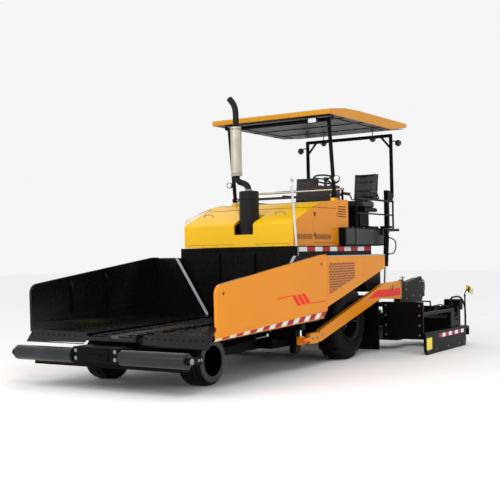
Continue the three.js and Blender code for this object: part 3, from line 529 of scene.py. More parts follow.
# conveyor slats and chains, following the rising floor
def deck_z(y):
    return 0.612 + 0.090 * (y + 3.3) / 4.86
b, c = MB(), MB()
n = 27
for i in range(n):
    y = -3.20 + i * 0.172
    for s in (-1, 1):
        z = deck_z(y) + 0.002
        b.box(s * 0.055, s * 0.325, y - 0.014, y + 0.014, z, z + 0.014, 0.003) if s > 0 else b.box(-0.325, -0.055, y - 0.014, y + 0.014, z, z + 0.014, 0.003)
for s in (-1, 1):
    for i in range(66):
        y = -3.22 + i * 0.0715
        z = deck_z(y) + 0.009
        for xo in (0.075, 0.300):
            c.box(s * xo - 0.006, s * xo + 0.006, y - 0.031, y + 0.031, z, z + 0.012, 0.003)
piece("conveyor_slats", b, DECKM, "chassis")
piece("conveyor_chains", c, WRN, "chassis")
b = MB()
for s in (-1, 1):
    b.prism([(-3.29, deck_z(-3.29) + 0.031), (-3.29, deck_z(-3.29) + 0.045), (-0.66, deck_z(-0.66) + 0.045), (-0.66, deck_z(-0.66) + 0.031)], "x", s * 0.374 - 0.019, s * 0.374 + 0.019)
    for i in range(14):
        y = -3.2 + i * 0.19
        b.rivet((s * 0.374, y, deck_z(y) + 0.0452), (0, 0, 1), 0.008)
piece("chain_covers", b, HOP, "chassis")

# push beam details
b = MB()
for s in (-1, 1):
    for z in (0.395, 0.485):
        b.bolt((s * 0.30, -3.5602, z), (0, -1, 0), 0.016, 0.012)
    b.cyl((s * 1.3452, -3.515, 0.42), (s * 1.357, -3.515, 0.42), 0.036, 20, b=0.003)
    for y in (-3.33, -3.38):
        b.bolt((s * 1.3452, y, 0.42), (s, 0, 0), 0.012, 0.009)
    b.box(s * 0.83 - 0.42, s * 0.83 + 0.42, -3.4012, -3.3992, 0.385, 0.392, 0.0005)
piece("push_beam_bolts", b, STL, "chassis")
b = MB()
b.box(-0.20, 0.20, -3.572, -3.5604, 0.375, 0.505, 0.008)
b.tube([(-0.10, -3.573, 0.44), (-0.10, -3.596, 0.44), (-0.04, -3.599, 0.44), (0.04, -3.599, 0.44), (0.10, -3.596, 0.44), (0.10, -3.573, 0.44)], 0.005, 8, 4)
piece("push_plate", b, BLK, "chassis")

# front axle, steering arms and linkage on the axle
b = MB()
b.cyl((-0.22, -2.405, 0.300), (0.22, -2.405, 0.300), 0.030, 18, b=0.003)
b.cyl((-0.255, -2.405, 0.300), (-0.22, -2.405, 0.300), 0.036, 18, b=0.003).cyl((0.22, -2.405, 0.300), (0.255, -2.405, 0.300), 0.036, 18, b=0.003)
for s in (-1, 1):
    b.box(s * 0.20 - 0.02, s * 0.20 + 0.02, -2.45, -2.43, 0.27, 0.33, 0.003)
piece("steer_cylinder", b, DGR, "chassis")
b = MB()
for s in (-1, 1):
    b.cyl((s * 0.255, -2.405, 0.300), (s * 0.40, -2.405, 0.300), 0.014, 14)
piece("steer_rod", b, CHR, "chassis")

# ---------------------------------------------------------------- wheels
def front_wheel(side, body):
    t, h = MB(), MB()
    s = side
    X = lambda x: s * x
    # hub dish, bolts and cap on the wheel's outer side
    h.turn([(0.178, 0.0), (0.178, 0.012), (0.165, 0.014), (0.10, 0.006), (0.10, 0.0)], (X(0.805), -2.49, 0.3), (s, 0, 0), 40)
    h.turn([(0.075, 0.0), (0.072, 0.045), (0.060, 0.060), (0.02, 0.062)], (X(0.8452), -2.49, 0.3), (s, 0, 0), 32)
    for i in range(8):
        a = 2 * math.pi * i / 8
        h.bolt((X(0.8185), -2.49 + 0.135 * math.cos(a), 0.3 + 0.135 * math.sin(a)), (s, 0, 0), 0.013, 0.012)
    h.turn([(0.262, 0.0), (0.262, 0.004), (0.200, 0.008), (0.186, 0.006), (0.186, 0.0)], (X(0.9072), -2.49, 0.3), (s, 0, 0), 48)
    piece("front_hub_" + body[-1], h, HUBM, body)
    # thin dark rings on the tread mark its grooves: painted shade in the grooves
    for xx in (0.66, 0.745, 0.83):
        t.turn([(0.3002, -0.006), (0.3002, 0.006), (0.2985, 0.006), (0.2985, -0.006)], (X(xx), -2.49, 0.3), (s, 0, 0), 60)
    piece("front_groove_" + body[-1], t, DRK, body)


skins("front_wheel", SOL, 0.006, smooth=50, slot_name="wheel_rubber")
front_wheel(1, "front_wheel_L")
front_wheel(-1, "front_wheel_R")


def drive_wheel(s, body):
    cy, cz, cx = 0.680, 0.545, 1.001
    hw = 0.187
    prof = [(0.262, -hw + 0.040), (0.285, -hw + 0.014), (0.345, -hw + 0.001), (0.430, -hw + 0.004), (0.480, -hw + 0.016), (0.506, -hw + 0.040),
            (0.516, -hw + 0.085), (0.519, 0.0)]
    full = prof + [(r, -t) for r, t in prof[:-1][::-1]]
    ts = MB()
    n = 96
    vs, fs = [], []
    for r, t in full:
        for i in range(n):
            a = 2 * math.pi * i / n
            vs.append((s * (cx + t), cy + r * math.cos(a), cz + r * math.sin(a)))
    k = len(full)
    for j in range(k - 1):
        for i in range(n):
            fs.append((j * n + i, j * n + (i + 1) % n, (j + 1) * n + (i + 1) % n, (j + 1) * n + i))
    for i in range(n):
        fs.append(((k - 1) * n + i, (k - 1) * n + (i + 1) % n, (i + 1) % n, i))
    ts.add(vs, fs)
    # raised sidewall ribs
    for rr in (0.335, 0.372):
        ts.ring((s * (cx + hw - 0.0015), cy, cz), (1, 0, 0), rr, 0.003, 72, 6)
    # slanted lugs, staggered either side of the middle
    def surf_r(t):
        t = abs(t)
        pts = [(r, abs(x)) for r, x in prof[3:]]
        pts = sorted([(x, r) for r, x in pts])
        for (x0, r0), (x1, r1) in zip(pts, pts[1:]):
            if x0 <= t <= x1:
                return r0 + (r1 - r0) * (t - x0) / max(x1 - x0, 1e-6)
        return pts[-1][1]
    lugs = 20
    for side in (-1, 1):
        for i in range(lugs):
            a0 = 2 * math.pi * (i + (0.5 if side > 0 else 0.0)) / lugs
            rows = []
            steps = 7
            for j in range(steps):
                q = j / (steps - 1)
                t = side * (-0.012 + q * (hw - 0.010))
                ang = a0 + 0.16 * q
                wd = 0.042 - 0.006 * q
                rb = surf_r(t)
                top = min(0.545, rb + 0.030 - (0.004 if q > 0.85 else 0))
                rows.append((t, ang, wd, rb - 0.01, top))
            vs, fs = [], []
            for t, ang, wd, rb, top in rows:
                for r, da in ((rb, -wd / 0.5 * 0.62), (top, -wd / 0.5 * 0.42), (top, wd / 0.5 * 0.42), (rb, wd / 0.5 * 0.62)):
                    a = ang + da
                    vs.append((s * (cx + t), cy + r * math.cos(a), cz + r * math.sin(a)))
            for j in range(steps - 1):
                for q in range(4):
                    fs.append((j * 4 + q, j * 4 + (q + 1) % 4, (j + 1) * 4 + (q + 1) % 4, (j + 1) * 4 + q))
            fs.append((3, 2, 1, 0))
            e = (steps - 1) * 4
            fs.append((e, e + 1, e + 2, e + 3))
            ts.add(vs, fs)
    o = piece("drive_tyre_" + body[-1], ts, RUB, body, 32)
    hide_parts("rear_tyre_" + body[-1])
    h = MB()
    X = lambda x: s * x
    for i in range(10):
        a = 2 * math.pi * (i + 0.5) / 10
        h.bolt((X(0.9922), cy + 0.165 * math.cos(a), cz + 0.165 * math.sin(a)), (s, 0, 0), 0.015, 0.016)
    for i in range(8):
        a = 2 * math.pi * i / 8
        h.bolt((X(1.0782), cy + 0.078 * math.cos(a), cz + 0.078 * math.sin(a)), (s, 0, 0), 0.009, 0.008)
    h.turn([(0.045, 0), (0.043, 0.012), (0.03, 0.016)], (X(1.0782), cy, cz), (s, 0, 0), 24)
    h.tube([(X(1.10), cy + 0.228, cz), (X(1.135), cy + 0.226, cz), (X(1.16), cy + 0.219, cz)], 0.005, 8, 3)
    piece("rim_bolts_" + body[-1], h, STL, body)


skins("rear_rim", RIM, 0.003, smooth=40, slot_name="rim_paint")
drive_wheel(1, "rear_wheel_L")
drive_wheel(-1, "rear_wheel_R")

# ----------------------------------------------------------- hopper wings
def wing_pick(c, nrm):
    ax = abs(c.x)
    nx = nrm.x * (1 if c.x > 0 else -1)
    if ax > 1.4535 and nx > 0.5:
        return 0
    if ax > 1.38 and c.z < 0.83 and nx > 0.2 and c.y > -3.18:
        return 0
    if c.x > 1.41 and nrm.y < -0.3 and c.y < -2.9:
        return 0
    return 1


skins("hopper_wing", [ORA, HOP], 0.0025, 2, pick=wing_pick, slot_name="yellow_paint")
b = MB()     # red bars and lines
def quad_wing(mb, pts, x=1.4552, t=0.0012):
    mb.prism(pts, "x", x, x + t)
quad_wing(b, [(-1.875, 1.013), (-1.50, 1.037), (-1.50, 1.049), (-1.875, 1.025)])
for i in range(3):
    t0 = -1.507 + i * 0.123
    quad_wing(b, [(t0, 1.040 + 0.006 * i), (t0 + 0.088, 1.044 + 0.006 * i), (t0 + 0.088 + 0.145, 0.912 + 0.006 * i), (t0 + 0.145, 0.906 + 0.006 * i)])
quad_wing(b, [(-1.02, 0.914), (-0.60, 0.926), (-0.60, 0.938), (-1.014, 0.926)])
pair("wing_stripe", b, RED2, "wing_*")
# reflective tape along the skirt
r, w = MB(), MB()
def skirt_pt(t, q, off):
    C = Vector((1.455, -3.165 + 2.613 * t, 0.690 + 0.122 * t))
    B = Vector((1.393, -3.155 + 2.603 * t, 0.600 + 0.090 * t))
    e = (B - C)
    nn = Vector((0, 1, 0)).cross(e).normalized()
    if nn.x < 0:
        nn = -nn
    return C + e * q + nn * off
segs = 18
for i in range(segs):
    t0, t1 = (i + 0.04) / segs, (i + 0.96) / segs
    pts = [skirt_pt(t0, 0.22, 0.0006), skirt_pt(t1, 0.22, 0.0006), skirt_pt(t1, 0.86, 0.0006), skirt_pt(t0, 0.86, 0.0006)]
    top = [skirt_pt(t0, 0.22, 0.0018), skirt_pt(t1, 0.22, 0.0018), skirt_pt(t1, 0.86, 0.0018), skirt_pt(t0, 0.86, 0.0018)]
    (r if i % 2 else w).add(pts + top, [(3, 2, 1, 0), (4, 5, 6, 7), (0, 1, 5, 4), (1, 2, 6, 5), (2, 3, 7, 6), (3, 0, 4, 7)])
pair("wing_tape_red", r, RED, "wing_*")
pair("wing_tape_white", w, WHT, "wing_*")
# lifting eyes (flat dark discs in their holes: painted shade), edge lip, hinge sleeves and apron rivets
b = MB()
for y, z in ((-3.037, 1.139), (-0.706, 1.427)):
    b.turn([(0.017, 0), (0.017, 0.0016), (0.001, 0.0016)], (1.4552, y, z), (1, 0, 0), 24)
pair("wing_eye", b, DRK, "wing_*")
b = MB()
for y, z in ((-3.037, 1.139), (-0.706, 1.427)):
    b.ring((1.4555, y, z), (1, 0, 0), 0.021, 0.003, 28, 6)
b.tube([(1.4535, -3.155, 0.694), (1.4535, -0.556, 0.8155)], 0.0042, 8, 1)
pair("wing_bead", b, ORA, "wing_*")
b = MB()
for i in range(6):
    y = -3.0 + i * 0.43
    b.cyl((0.42, y, 0.64), (0.42, y + 0.16, 0.64), 0.019, 16, b=0.002)
for i in range(11):
    x = 0.47 + i * 0.09
    b.rivet((x, -3.215, 0.6262), (0, -0.72, 0.69), 0.010)
b.box(0.43, 1.395, -3.2905, -3.268, 0.5235, 0.5335, 0.003)
# inner stiffeners on the wall
for y in (-2.45, -1.75, -1.1):
    zt = 1.18 + 0.1156 * (y + 3.165)
    b.prism([(1.4155, 0.82), (1.385, 0.90), (1.385, zt - 0.10), (1.4155, zt)], "y", y - 0.012, y + 0.012)
b.tube([(1.409, -3.0, 0.765), (1.409, -0.66, 0.868)], 0.006, 8, 1)
pair("wing_fittings", b, HOP, "wing_*")
b = MB()     # light edge of the rear plate
b.prism([(0.447, 0.72), (0.985, 1.5415), (1.035, 1.5415), (0.485, 0.70)], "y", -0.6425, -0.6402)
pair("wing_rear_edge", b, LGR, "wing_*")
skins("wing_cylinder", BLK, 0.002, smooth=50)
skins("wing_rod", CHR, 0, smooth=50, slot_name="chrome_rod")

# ------------------------------------------------------------- hood and doors
CURVE = [(-0.484, 2.064), (-0.341, 2.128), (-0.196, 2.176), (0.027, 2.255), (0.179, 2.296), (0.333, 2.325)]


def hood_pick(c, n):
    return 1 if abs(n.x) > 0.9 and abs(c.x) > 0.92 else 0


skin("engine_hood", [YEL, ORA], 0.014, 3, pick=hood_pick, slot_name="yellow_paint")
b = MB()
b.prism([(-0.532, 2.042)] + [q for q in CURVE if q[0] < 0.03] + [(0.034, 2.2572), (0.034, 2.262), (-0.20, 2.186), (-0.488, 2.084), (-0.532, 2.046)], "x", 0.9331, 0.9337)
b.prism([(-0.20, 2.18)] + [(0.034, 2.2575), (0.179, 2.296), (0.333, 2.3225), (0.318, 2.3225), (0.21, 2.293), (0.034, 2.246), (-0.15, 2.197)], "x", 0.9331, 0.9337)
pair("hood_field", b, YEL, "chassis")
skins("engine_door", [ORA, BLK], 0.004, 2, pick=lambda c, n: 1 if abs(c.x) > 0.9335 else 0, slot_name="orange_paint")
b = MB()     # louvre gaps behind the doors and slots low on the hood's side, as flat dark pieces: painted shade in the openings
for i in range(5):
    z = 2.115 + i * 0.037
    b.box(0.9332, 0.9362, 0.835, 1.075, z, z + 0.017, 0.0012)
for i in range(13):
    y = -0.455 + i * 0.036
    b.prism([(y, 1.775), (y + 0.016, 1.775), (y + 0.034, 1.812), (y + 0.016, 1.849), (y, 1.849), (y + 0.018, 1.812)], "x", 0.9332, 0.9342)
pair("hood_slots", b, DRK, "chassis")
# chevron slots on the doors, as flat dark pieces: painted shade in the perforations
b = MB()
for i in range(14):
    y = 0.075 + i * 0.036
    b.prism([(y, 1.775), (y + 0.016, 1.775), (y + 0.034, 1.812), (y + 0.016, 1.849), (y, 1.849), (y + 0.018, 1.812)], "x", 0.9332, 0.9342)
pair("door_slots", b, DRK, "door_*")
b = MB()
for i in range(5):
    z = 2.132 + i * 0.037
    b.prism([(0.9332, z), (0.9432, z - 0.004), (0.9432, z - 0.001), (0.9332, z + 0.012)], "y", 0.835, 1.075)
pair("hood_louvres", b, ORA, "chassis")
b = MB()
for z in (1.84, 2.14):
    b.box(0.9432, 0.9502, 0.082, 0.108, z - 0.018, z + 0.018, 0.003)
    b.cyl((0.9432, 0.095, z + 0.012), (0.952, 0.095, z + 0.012), 0.005, 10)
pair("door_latches", b, STL, "door_*")
b = MB()
for z in (1.80, 2.16):
    b.cyl((0.9376, 0.792, z - 0.035), (0.9376, 0.792, z + 0.035), 0.004, 12, b=0.001)
pair("door_hinge_pins", b, STL, "chassis")
# seams across the hood's top and front, screws round the notch
b = MB()
b.box(-0.90, 0.90, 0.308, 0.314, 2.3290, 2.3304, 0.0004)
b.box(-0.90, -0.06, -0.5392, -0.5382, 1.715, 1.719, 0.0003).box(0.285, 0.90, -0.5392, -0.5382, 1.715, 1.719, 0.0003)
piece("hood_seams", b, DRK, "chassis")
b = MB()
for x in (-0.85, -0.6, -0.35, -0.12, 0.35, 0.6, 0.85):
    b.rivet((x, -0.5382, 1.70), (0, -1, 0), 0.009)
for s in (-1, 1):
    for y in (-0.45, -0.25, -0.05, 0.85, 1.05):
        b.rivet((s * 0.9332, y, 1.70), (s, 0, 0), 0.009)
    # lifting handles on the front slope
    b.tube([(s * 0.62 - 0.07, -0.34, 2.1275), (s * 0.62 - 0.07, -0.355, 2.163), (s * 0.62 + 0.07, -0.355, 2.163), (s * 0.62 + 0.07, -0.34, 2.1275)], 0.007, 10, 4)
piece("hood_hardware", b, STL, "chassis")
b = MB()
for s in (-1, 1):
    b.cyl((s * 0.852, 0.793, 2.44), (s * 0.829, 0.793, 2.44), 0.028, 20, b=0.002)
    for dy in (-0.042, 0.042):
        b.bolt((s * 0.893, 0.793 + dy, 2.3985), (0, 0, 1), 0.008, 0.006)
piece("post_pins", b, STL, "chassis")

skin("muffler", MUF, 0.006, 3, smooth=50, slot_name="muffler_paint")
b = MB()
cx, cy = 0.105, -0.362
for z in (1.93, 2.36):
    b.turn([(0.1432, 0), (0.1482, 0.003), (0.1482, 0.030), (0.1432, 0.033)], (cx, cy, z), (0, 0, 1), 48)
b.turn([(0.1432, 0), (0.1452, 0.002), (0.1452, 0.006), (0.1432, 0.008)], (cx, cy, 2.455), (0, 0, 1), 48)
for z in (1.945, 2.375):
    b.box(cx + 0.095, cx + 0.125, cy - 0.135, cy - 0.100, z - 0.01, z + 0.01, 0.002)
piece("muffler_bands", b, MUF, "chassis")
skin("exhaust_stack", EXH, 0, smooth=60, slot_name="exhaust_paint")
skin("heat_shield", SHD, 0.001, 1, smooth=50, slot_name="shield_steel")
b = MB()
for z in (2.735, 3.385):
    b.turn([(0.0802, 0), (0.0845, 0.001), (0.0845, 0.018), (0.0802, 0.019)], (-0.1, -0.362, z), (0, 0, 1), 40)
    b.box(-0.112, -0.088, -0.462, -0.4455, z + 0.002, z + 0.017, 0.002)
b.turn([(0.0460, 0), (0.0500, 0.001), (0.0500, 0.022), (0.0460, 0.023)], (0.105, -0.362, 2.49), (0, 0, 1), 32)
piece("stack_clamps", b, STL, "chassis")

# -------------------------------------------------------- platform and panels
def plat_pick(c, n):
    if n.z > 0.9 and 1.95 < c.z < 1.965:
        return 1
    return 0


skin("operator_platform", [BLK, TRD], 0.003, 2, pick=plat_pick)
b = MB()
b.tube([(-0.833, 1.215, 2.56), (0.833, 1.215, 2.56)], 0.0205, 16, 1)
b.tube([(-0.90, 1.235, 2.44), (-0.95, 1.30, 2.43), (-0.955, 1.385, 2.42)], 0.014, 12, 5)
piece("front_rail_bright", b, CHR, "chassis")
b = MB()
b.box(-0.80, 0.80, 1.2, 1.23, 2.452, 2.492, 0.004)
b.box(1.0453, 1.0505, 1.195, 2.315, 1.70, 1.935, 0.003)
b.box(1.0453, 1.0495, 0.86, 1.15, 1.70, 1.935, 0.003)
piece("side_covers", b, DGR, "chassis")
b = MB()
for y in (1.22, 1.75, 2.29):
    for z in (1.722, 1.912):
        b.bolt((1.0507, y, z), (1, 0, 0), 0.009, 0.007)
for s in (-1, 1):
    for y in (1.2, 1.6, 2.0, 2.4, 2.9):
        b.bolt((s * 0.985, y, 1.9602), (0, 0, 1), 0.009, 0.007)
piece("cover_bolts", b, STL, "chassis")
b = MB()
b.box(-1.0502, -1.0453, 1.195, 2.315, 1.70, 1.935, 0.003)
piece("side_cover_right", b, DGR, "chassis")
# reflective tape on the body's side
r, w = MB(), MB()
for i in range(10):
    y0, y1 = -0.50 + i * 0.229, -0.50 + (i + 0.97) * 0.229
    (r if i % 2 else w).box(1.0003, 1.0018, y0, y1, 1.600, 1.664, 0)
for mb, nm, mt in ((r, "body_tape_red", RED), (w, "body_tape_white", WHT)):
    pair(nm, mb, mt, "chassis")
# walkway plate along the body's side
b = MB()
b.box(1.02, 1.395, -0.50, 1.26, 1.5303, 1.5335, 0.001)
pair("walkway_plate", b, TRD, "chassis")

skins("side_panel", ORA, 0.004, 2, slot_name="orange_paint")
b = MB()
b.prism([(-0.495, 1.010), (0.285, 1.215), (0.285, 1.440), (-0.495, 1.440)], "x", 1.4552, 1.4565)
pair("panel_mesh", b, GRI, "chassis")
b = MB()
b.tube([(1.4540, -0.54, 1.5312), (1.4540, 1.326, 1.5312)], 0.007, 8, 1)
pair("panel_edge", b, LGR, "chassis")
b = MB()
b.box(1.4552, 1.4580, -0.507, 0.297, 1.440, 1.452, 0.001)
b.box(1.4552, 1.4580, 0.285, 0.297, 1.210, 1.440, 0.001).box(1.4552, 1.4580, -0.507, -0.495, 1.000, 1.440, 0.001)
b.prism([(-0.507, 0.994), (0.297, 1.205), (0.297, 1.217), (-0.507, 1.006)], "x", 1.4552, 1.4580)
for y in (-0.50, 0.40, 0.80, 1.20):
    b.rivet((1.4552, y, 1.49), (1, 0, 0), 0.008)
pair("panel_frame", b, ORA, "chassis")
skin("grab_rail", CHR, 0, smooth=60, slot_name="chrome_rod")
b = MB()
b.box(0.946, 0.986, -0.5425, -0.492, 1.6748, 1.682, 0.001)
b.box(0.9335, 0.963, -0.537, -0.529, 1.865, 1.885, 0.002)
b.box(0.9965, 1.0025, -0.5425, -0.510, 1.52, 1.67, 0.001)
piece("rail_feet", b, STL, "chassis")

# ---------------------------------------------------------------- console
skin("console", PLA, 0.012, 3, slot_name="console_plastic")
b = MB()
b.box(-0.045, 0.505, 1.575, 1.705, 2.6502, 2.6560, 0.004)
for x in (0.0, 0.10, 0.20):
    b.cyl((x, 1.63, 2.656), (x, 1.63, 2.672), 0.036, 28, b=0.003)
for x in (0.40, 0.46):
    b.cyl((x, 1.64, 2.656), (x, 1.64, 2.70), 0.016, 16, b=0.003)
piece("console_panel", b, GLS, "chassis")
b = MB()
for x in (0.0, 0.10, 0.20):
    b.cyl((x, 1.63, 2.6722), (x, 1.63, 2.6732), 0.028, 28)
piece("gauge_faces", b, WHT, "chassis")
b = MB()
for k in range(8):
    b.box(-0.03 + k * 0.030, -0.012 + k * 0.030, 1.583, 1.597, 2.656, 2.664, 0.002)
b.cyl((0.43, 1.62, 2.656), (0.43, 1.60, 2.76), 0.007, 12)
b.ball((0.43, 1.598, 2.77), 0.020)
piece("console_switches", b, RED, "chassis")
skin("steering_wheel", GLS, 0.002, 2, smooth=60, slot_name="rim_plastic")
b = MB()
R = Matrix.Translation((0.28, 1.6965, 2.768)) @ Matrix.Rotation(-math.atan2(30, 105), 4, "X")
p0, p1 = R @ Vector((0.0, 0.205, 0.012)), R @ Vector((0.0, 0.205, 0.060))
b.cyl(p0, p1, 0.007, 12)
b.ball(R @ Vector((0.0, 0.205, 0.070)), 0.022)
c0, c1 = R @ Vector((0, 0, 0.020)), R @ Vector((0, 0, 0.028))
b.cyl(c0, c1, 0.034, 28, b=0.003)
piece("wheel_knob", b, GLS, "steering")


def cushion(name, x0, x1, prof, thick_in, fill_cap=0.018, voxel=0.010, flat=None):
    """prof: closed (y, z) outline of the pad, built a little small, then blown up by cloth."""
    k = bmesh.new()
    n = len(prof)
    a = [k.verts.new((x0, y, z)) for y, z in prof]
    c = [k.verts.new((x1, y, z)) for y, z in prof]
    k.faces.new(a)
    k.faces.new(list(reversed(c)))
    for i in range(n):
        k.faces.new((a[i], c[i], c[(i + 1) % n], a[(i + 1) % n]))
    bmesh.ops.recalc_face_normals(k, faces=k.faces)
    bmesh.ops.bevel(k, geom=list(k.edges), offset=0.022, segments=3, profile=0.5, affect="EDGES")
    me = bpy.data.meshes.new(name)
    k.to_mesh(me)
    k.free()
    o = bpy.data.objects.new(name, me)
    SC.collection.objects.link(o)
    rm = o.modifiers.new("r", "REMESH")
    rm.mode = "VOXEL"
    rm.voxel_size = voxel
    dg = bpy.context.evaluated_depsgraph_get()
    me2 = bpy.data.meshes.new_from_object(o.evaluated_get(dg))
    o.modifiers.clear()
    o.data = me2
    rest = [v.co.copy() for v in me2.vertices]
    cl = o.modifiers.new("c", "CLOTH")
    cl.settings.use_pressure = True
    cl.settings.uniform_pressure_force = 4.0
    cl.settings.effector_weights.gravity = 0.0
    cl.settings.quality = 5
    for f in range(1, 21):
        SC.frame_set(f)
    dg = bpy.context.evaluated_depsgraph_get()
    ev = o.evaluated_get(dg)
    pos = [v.co.copy() for v in ev.data.vertices]
    o.modifiers.clear()
    SC.frame_set(1)
    lo = Vector([min(p[i] for p in rest) for i in range(3)])
    hi = Vector([max(p[i] for p in rest) for i in range(3)])
    for v, p, q in zip(o.data.vertices, pos, rest):
        d = p - q
        if d.length > fill_cap:
            d = d * (fill_cap / d.length)
        v.co = q + d
    return o, lo, hi


def sew(o, fn):
    for v in o.data.vertices:
        v.co = fn(v.co)


bot, lo, hi = cushion("seat_base_L", 0.347, 0.787, [(2.03, 2.318), (2.475, 2.318), (2.475, 2.41), (2.03, 2.41)], 0.1)
bck, lo2, hi2 = cushion("seat_back_L", 0.352, 0.782, [(2.500, 2.445), (2.562, 2.44), (2.630, 2.895), (2.560, 2.905)], 0.07)


def groove(x, c, w):
    return math.exp(-((x - c) / w) ** 2)


def f_base(p):
    q = p.copy()
    if p.z > 2.38:
        g = groove(p.x, 0.467, 0.008) + groove(p.x, 0.667, 0.008) + 0.8 * groove(p.y, 2.18, 0.008) + 0.8 * groove(p.y, 2.33, 0.008)
        q.z -= 0.008 * min(g, 1.2)
        q.z -= 0.012 * math.exp(-(((p.x - 0.567) / 0.13) ** 2 + ((p.y - 2.26) / 0.15) ** 2))
    return q


def f_back(p):
    q = p.copy()
    front = p.y < 2.50 + 0.13 * (p.z - 2.445) / 0.45 + 0.02
    if front:
        g = groove(p.x, 0.467, 0.008) + groove(p.x, 0.667, 0.008) + 0.8 * groove(p.z, 2.60, 0.008) + 0.8 * groove(p.z, 2.75, 0.008)
        q.y += 0.008 * min(g, 1.2)
    return q


sew(bot, f_base)
sew(bck, f_back)
for o in (bot, bck):
    o.data.materials.clear()
    o.data.materials.append(VIN)
    sb = o.modifiers.new("s", "SUBSURF")
    sb.levels = sb.render_levels = 1
    o.data.shade_smooth()
    twin = bpy.data.objects.new(o.name[:-1] + "R", o.data.copy())
    for v in twin.data.vertices:
        v.co.x = -v.co.x
    twin.data.flip_normals()
    SC.collection.objects.link(twin)
    sb = twin.modifiers.new("s", "SUBSURF")
    sb.levels = sb.render_levels = 1
    for q in (o, twin):
        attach(q, "chassis")
        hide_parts("seat_" + q.name[-1])
# shells, armrests and slides
b = MB()
b.box(0.345, 0.789, 2.02, 2.49, 2.3003, 2.3085, 0.003)
b.box(0.365, 0.769, 2.575, 2.595, 2.46, 2.60, 0.006, m=None)
b.prism([(2.566, 2.44), (2.636, 2.885), (2.650, 2.885), (2.582, 2.44)], "x", 0.365, 0.769)
for x in (0.318, 0.816):
    b.tube([(x, 2.54, 2.47), (x, 2.50, 2.53), (x, 2.44, 2.548), (x, 2.20, 2.552)], 0.011, 10, 5)
    b.cyl((x, 2.56, 2.47), (0.365 if x < 0.5 else 0.769, 2.58, 2.47), 0.010, 12)
for y in (2.08, 2.40):
    b.box(0.36, 0.774, y - 0.012, y + 0.012, 2.2972, 2.3005, 0.0005)
pair("seat_frame", b, BLK, "chassis")
b = MB()
for x in (0.318, 0.816):
    b.box(x - 0.026, x + 0.026, 2.18, 2.46, 2.556, 2.586, 0.011, seg=3)
pair("seat_armrest", b, VIN, "chassis")


# ------------------------------------------------------------------ canopy
skin("canopy_roof", ROF, 0.010, 3, slot_name="yellow_paint")
skin("canopy_front_frame", BLK, 0.0, smooth=50)
skin("canopy_rear_frame", BLK, 0.0, smooth=50)
b = MB()
b.prism([(0.421, 3.6125), (2.615, 3.6125), (3.178, 3.672), (3.178, 3.680), (2.615, 3.6205), (0.421, 3.6205)], "x", -1.018, 1.018)
for y in (0.95, 1.6, 2.25):
    b.box(-1.01, 1.01, y - 0.02, y + 0.02, 3.603, 3.6125, 0.003)
for s in (-1, 1):
    b.box(s * 0.86 - 0.02, s * 0.86 + 0.02, 0.72, 2.60, 3.6035, 3.6125, 0.003)
piece("headliner", b, BLK, "canopy")
b = MB()
for s in (-1, 1):
    b.prism([(0.62, 3.6095), (0.69, 3.6095), (0.678, 3.560), (0.632, 3.560)], "x", s * 0.955 - 0.006, s * 0.955 + 0.006)
piece("roof_brackets", b, BLK, "canopy")
b = MB()
for x in (-0.62, 0.0, 0.62):
    b.tube([(x, 1.45, 3.7702), (x, 2.3, 3.7702), (x, 3.1, 3.7702)], 0.006, 8, 1)
piece("roof_beads", b, ROF, "canopy")


def work_lamp(c, l, body, name, face=(0, -1, 0), r=0.052):
    c, f = Vector(c), Vector(face).normalized()
    k, g = MB(), MB()
    k.turn([(r * 0.45, -0.055), (r * 0.95, -0.030), (r, -0.004), (r, 0.010), (r * 0.90, 0.010), (r * 0.90, 0.004)], c, f, 28)
    k.cyl(c + Vector((0, 0, r * 0.9)) - f * 0.015, c + Vector((0, 0, r + l)) - f * 0.015, 0.008, 10)
    g.turn([(r * 0.885, 0.0045), (r * 0.6, 0.010), (r * 0.2, 0.013), (0.001, 0.0135)], c, f, 28)
    piece(name, k, GLS, body)
    piece(name + "_lens", g, LNS, body)


def box_lamp(c, l, body, name, w=0.075, h=0.042):
    c = Vector(c)
    k, g = MB(), MB()
    k.box(c.x - w, c.x + w, c.y - 0.012, c.y + 0.048, c.z - h, c.z + h, 0.010, seg=2)
    k.box(c.x - 0.012, c.x + 0.012, c.y + 0.005, c.y + 0.030, c.z + h, c.z + h + l, 0.002)
    g.box(c.x - w + 0.010, c.x + w - 0.010, c.y - 0.0165, c.y - 0.0118, c.z - h + 0.009, c.z + h - 0.009, 0.002)
    piece(name, k, GLS, body)
    piece(name + "_lens", g, LNS, body)


box_lamp((0.70, 0.50, 3.552), 0.022, "canopy", "front_lamp_L")
box_lamp((-0.70, 0.50, 3.552), 0.022, "canopy", "front_lamp_R")
work_lamp((-0.33, 2.80, 3.500), 0.075, "canopy", "hanging_lamp_R", (0, 1, -0.4))
work_lamp((0.61, 2.80, 3.500), 0.075, "canopy", "hanging_lamp_L", (0, 1, -0.4))
for s, nm in ((1, "L"), (-1, "R")):
    k = MB()
    k.tube([(s * 0.845, 3.083, 3.475), (s * 0.90, 3.083, 3.47), (s * 0.935, 3.083, 3.455)], 0.011, 10, 4)
    piece("rear_lamp_arm_" + nm, k, BLK, "canopy_rear")
    work_lamp((s * 0.955, 3.085, 3.43), 0.0, "canopy_rear", "rear_lamp_" + nm, (0.2 * s, 1, -0.25), 0.055)
    k = MB()
    k.tube([(s * 0.915, 0.76, 2.70), (s * 0.945, 0.748, 2.70)], 0.008, 10, 1)
    piece("side_lamp_arm_" + nm, k, BLK, "canopy_front")
work_lamp((-0.965, 0.735, 2.685), 0.0, "canopy_front", "side_lamp_R", (-0.1, -1, 0), 0.048)
work_lamp((0.965, 0.735, 2.685), 0.0, "canopy_front", "side_lamp_L", (0.1, -1, 0), 0.048)

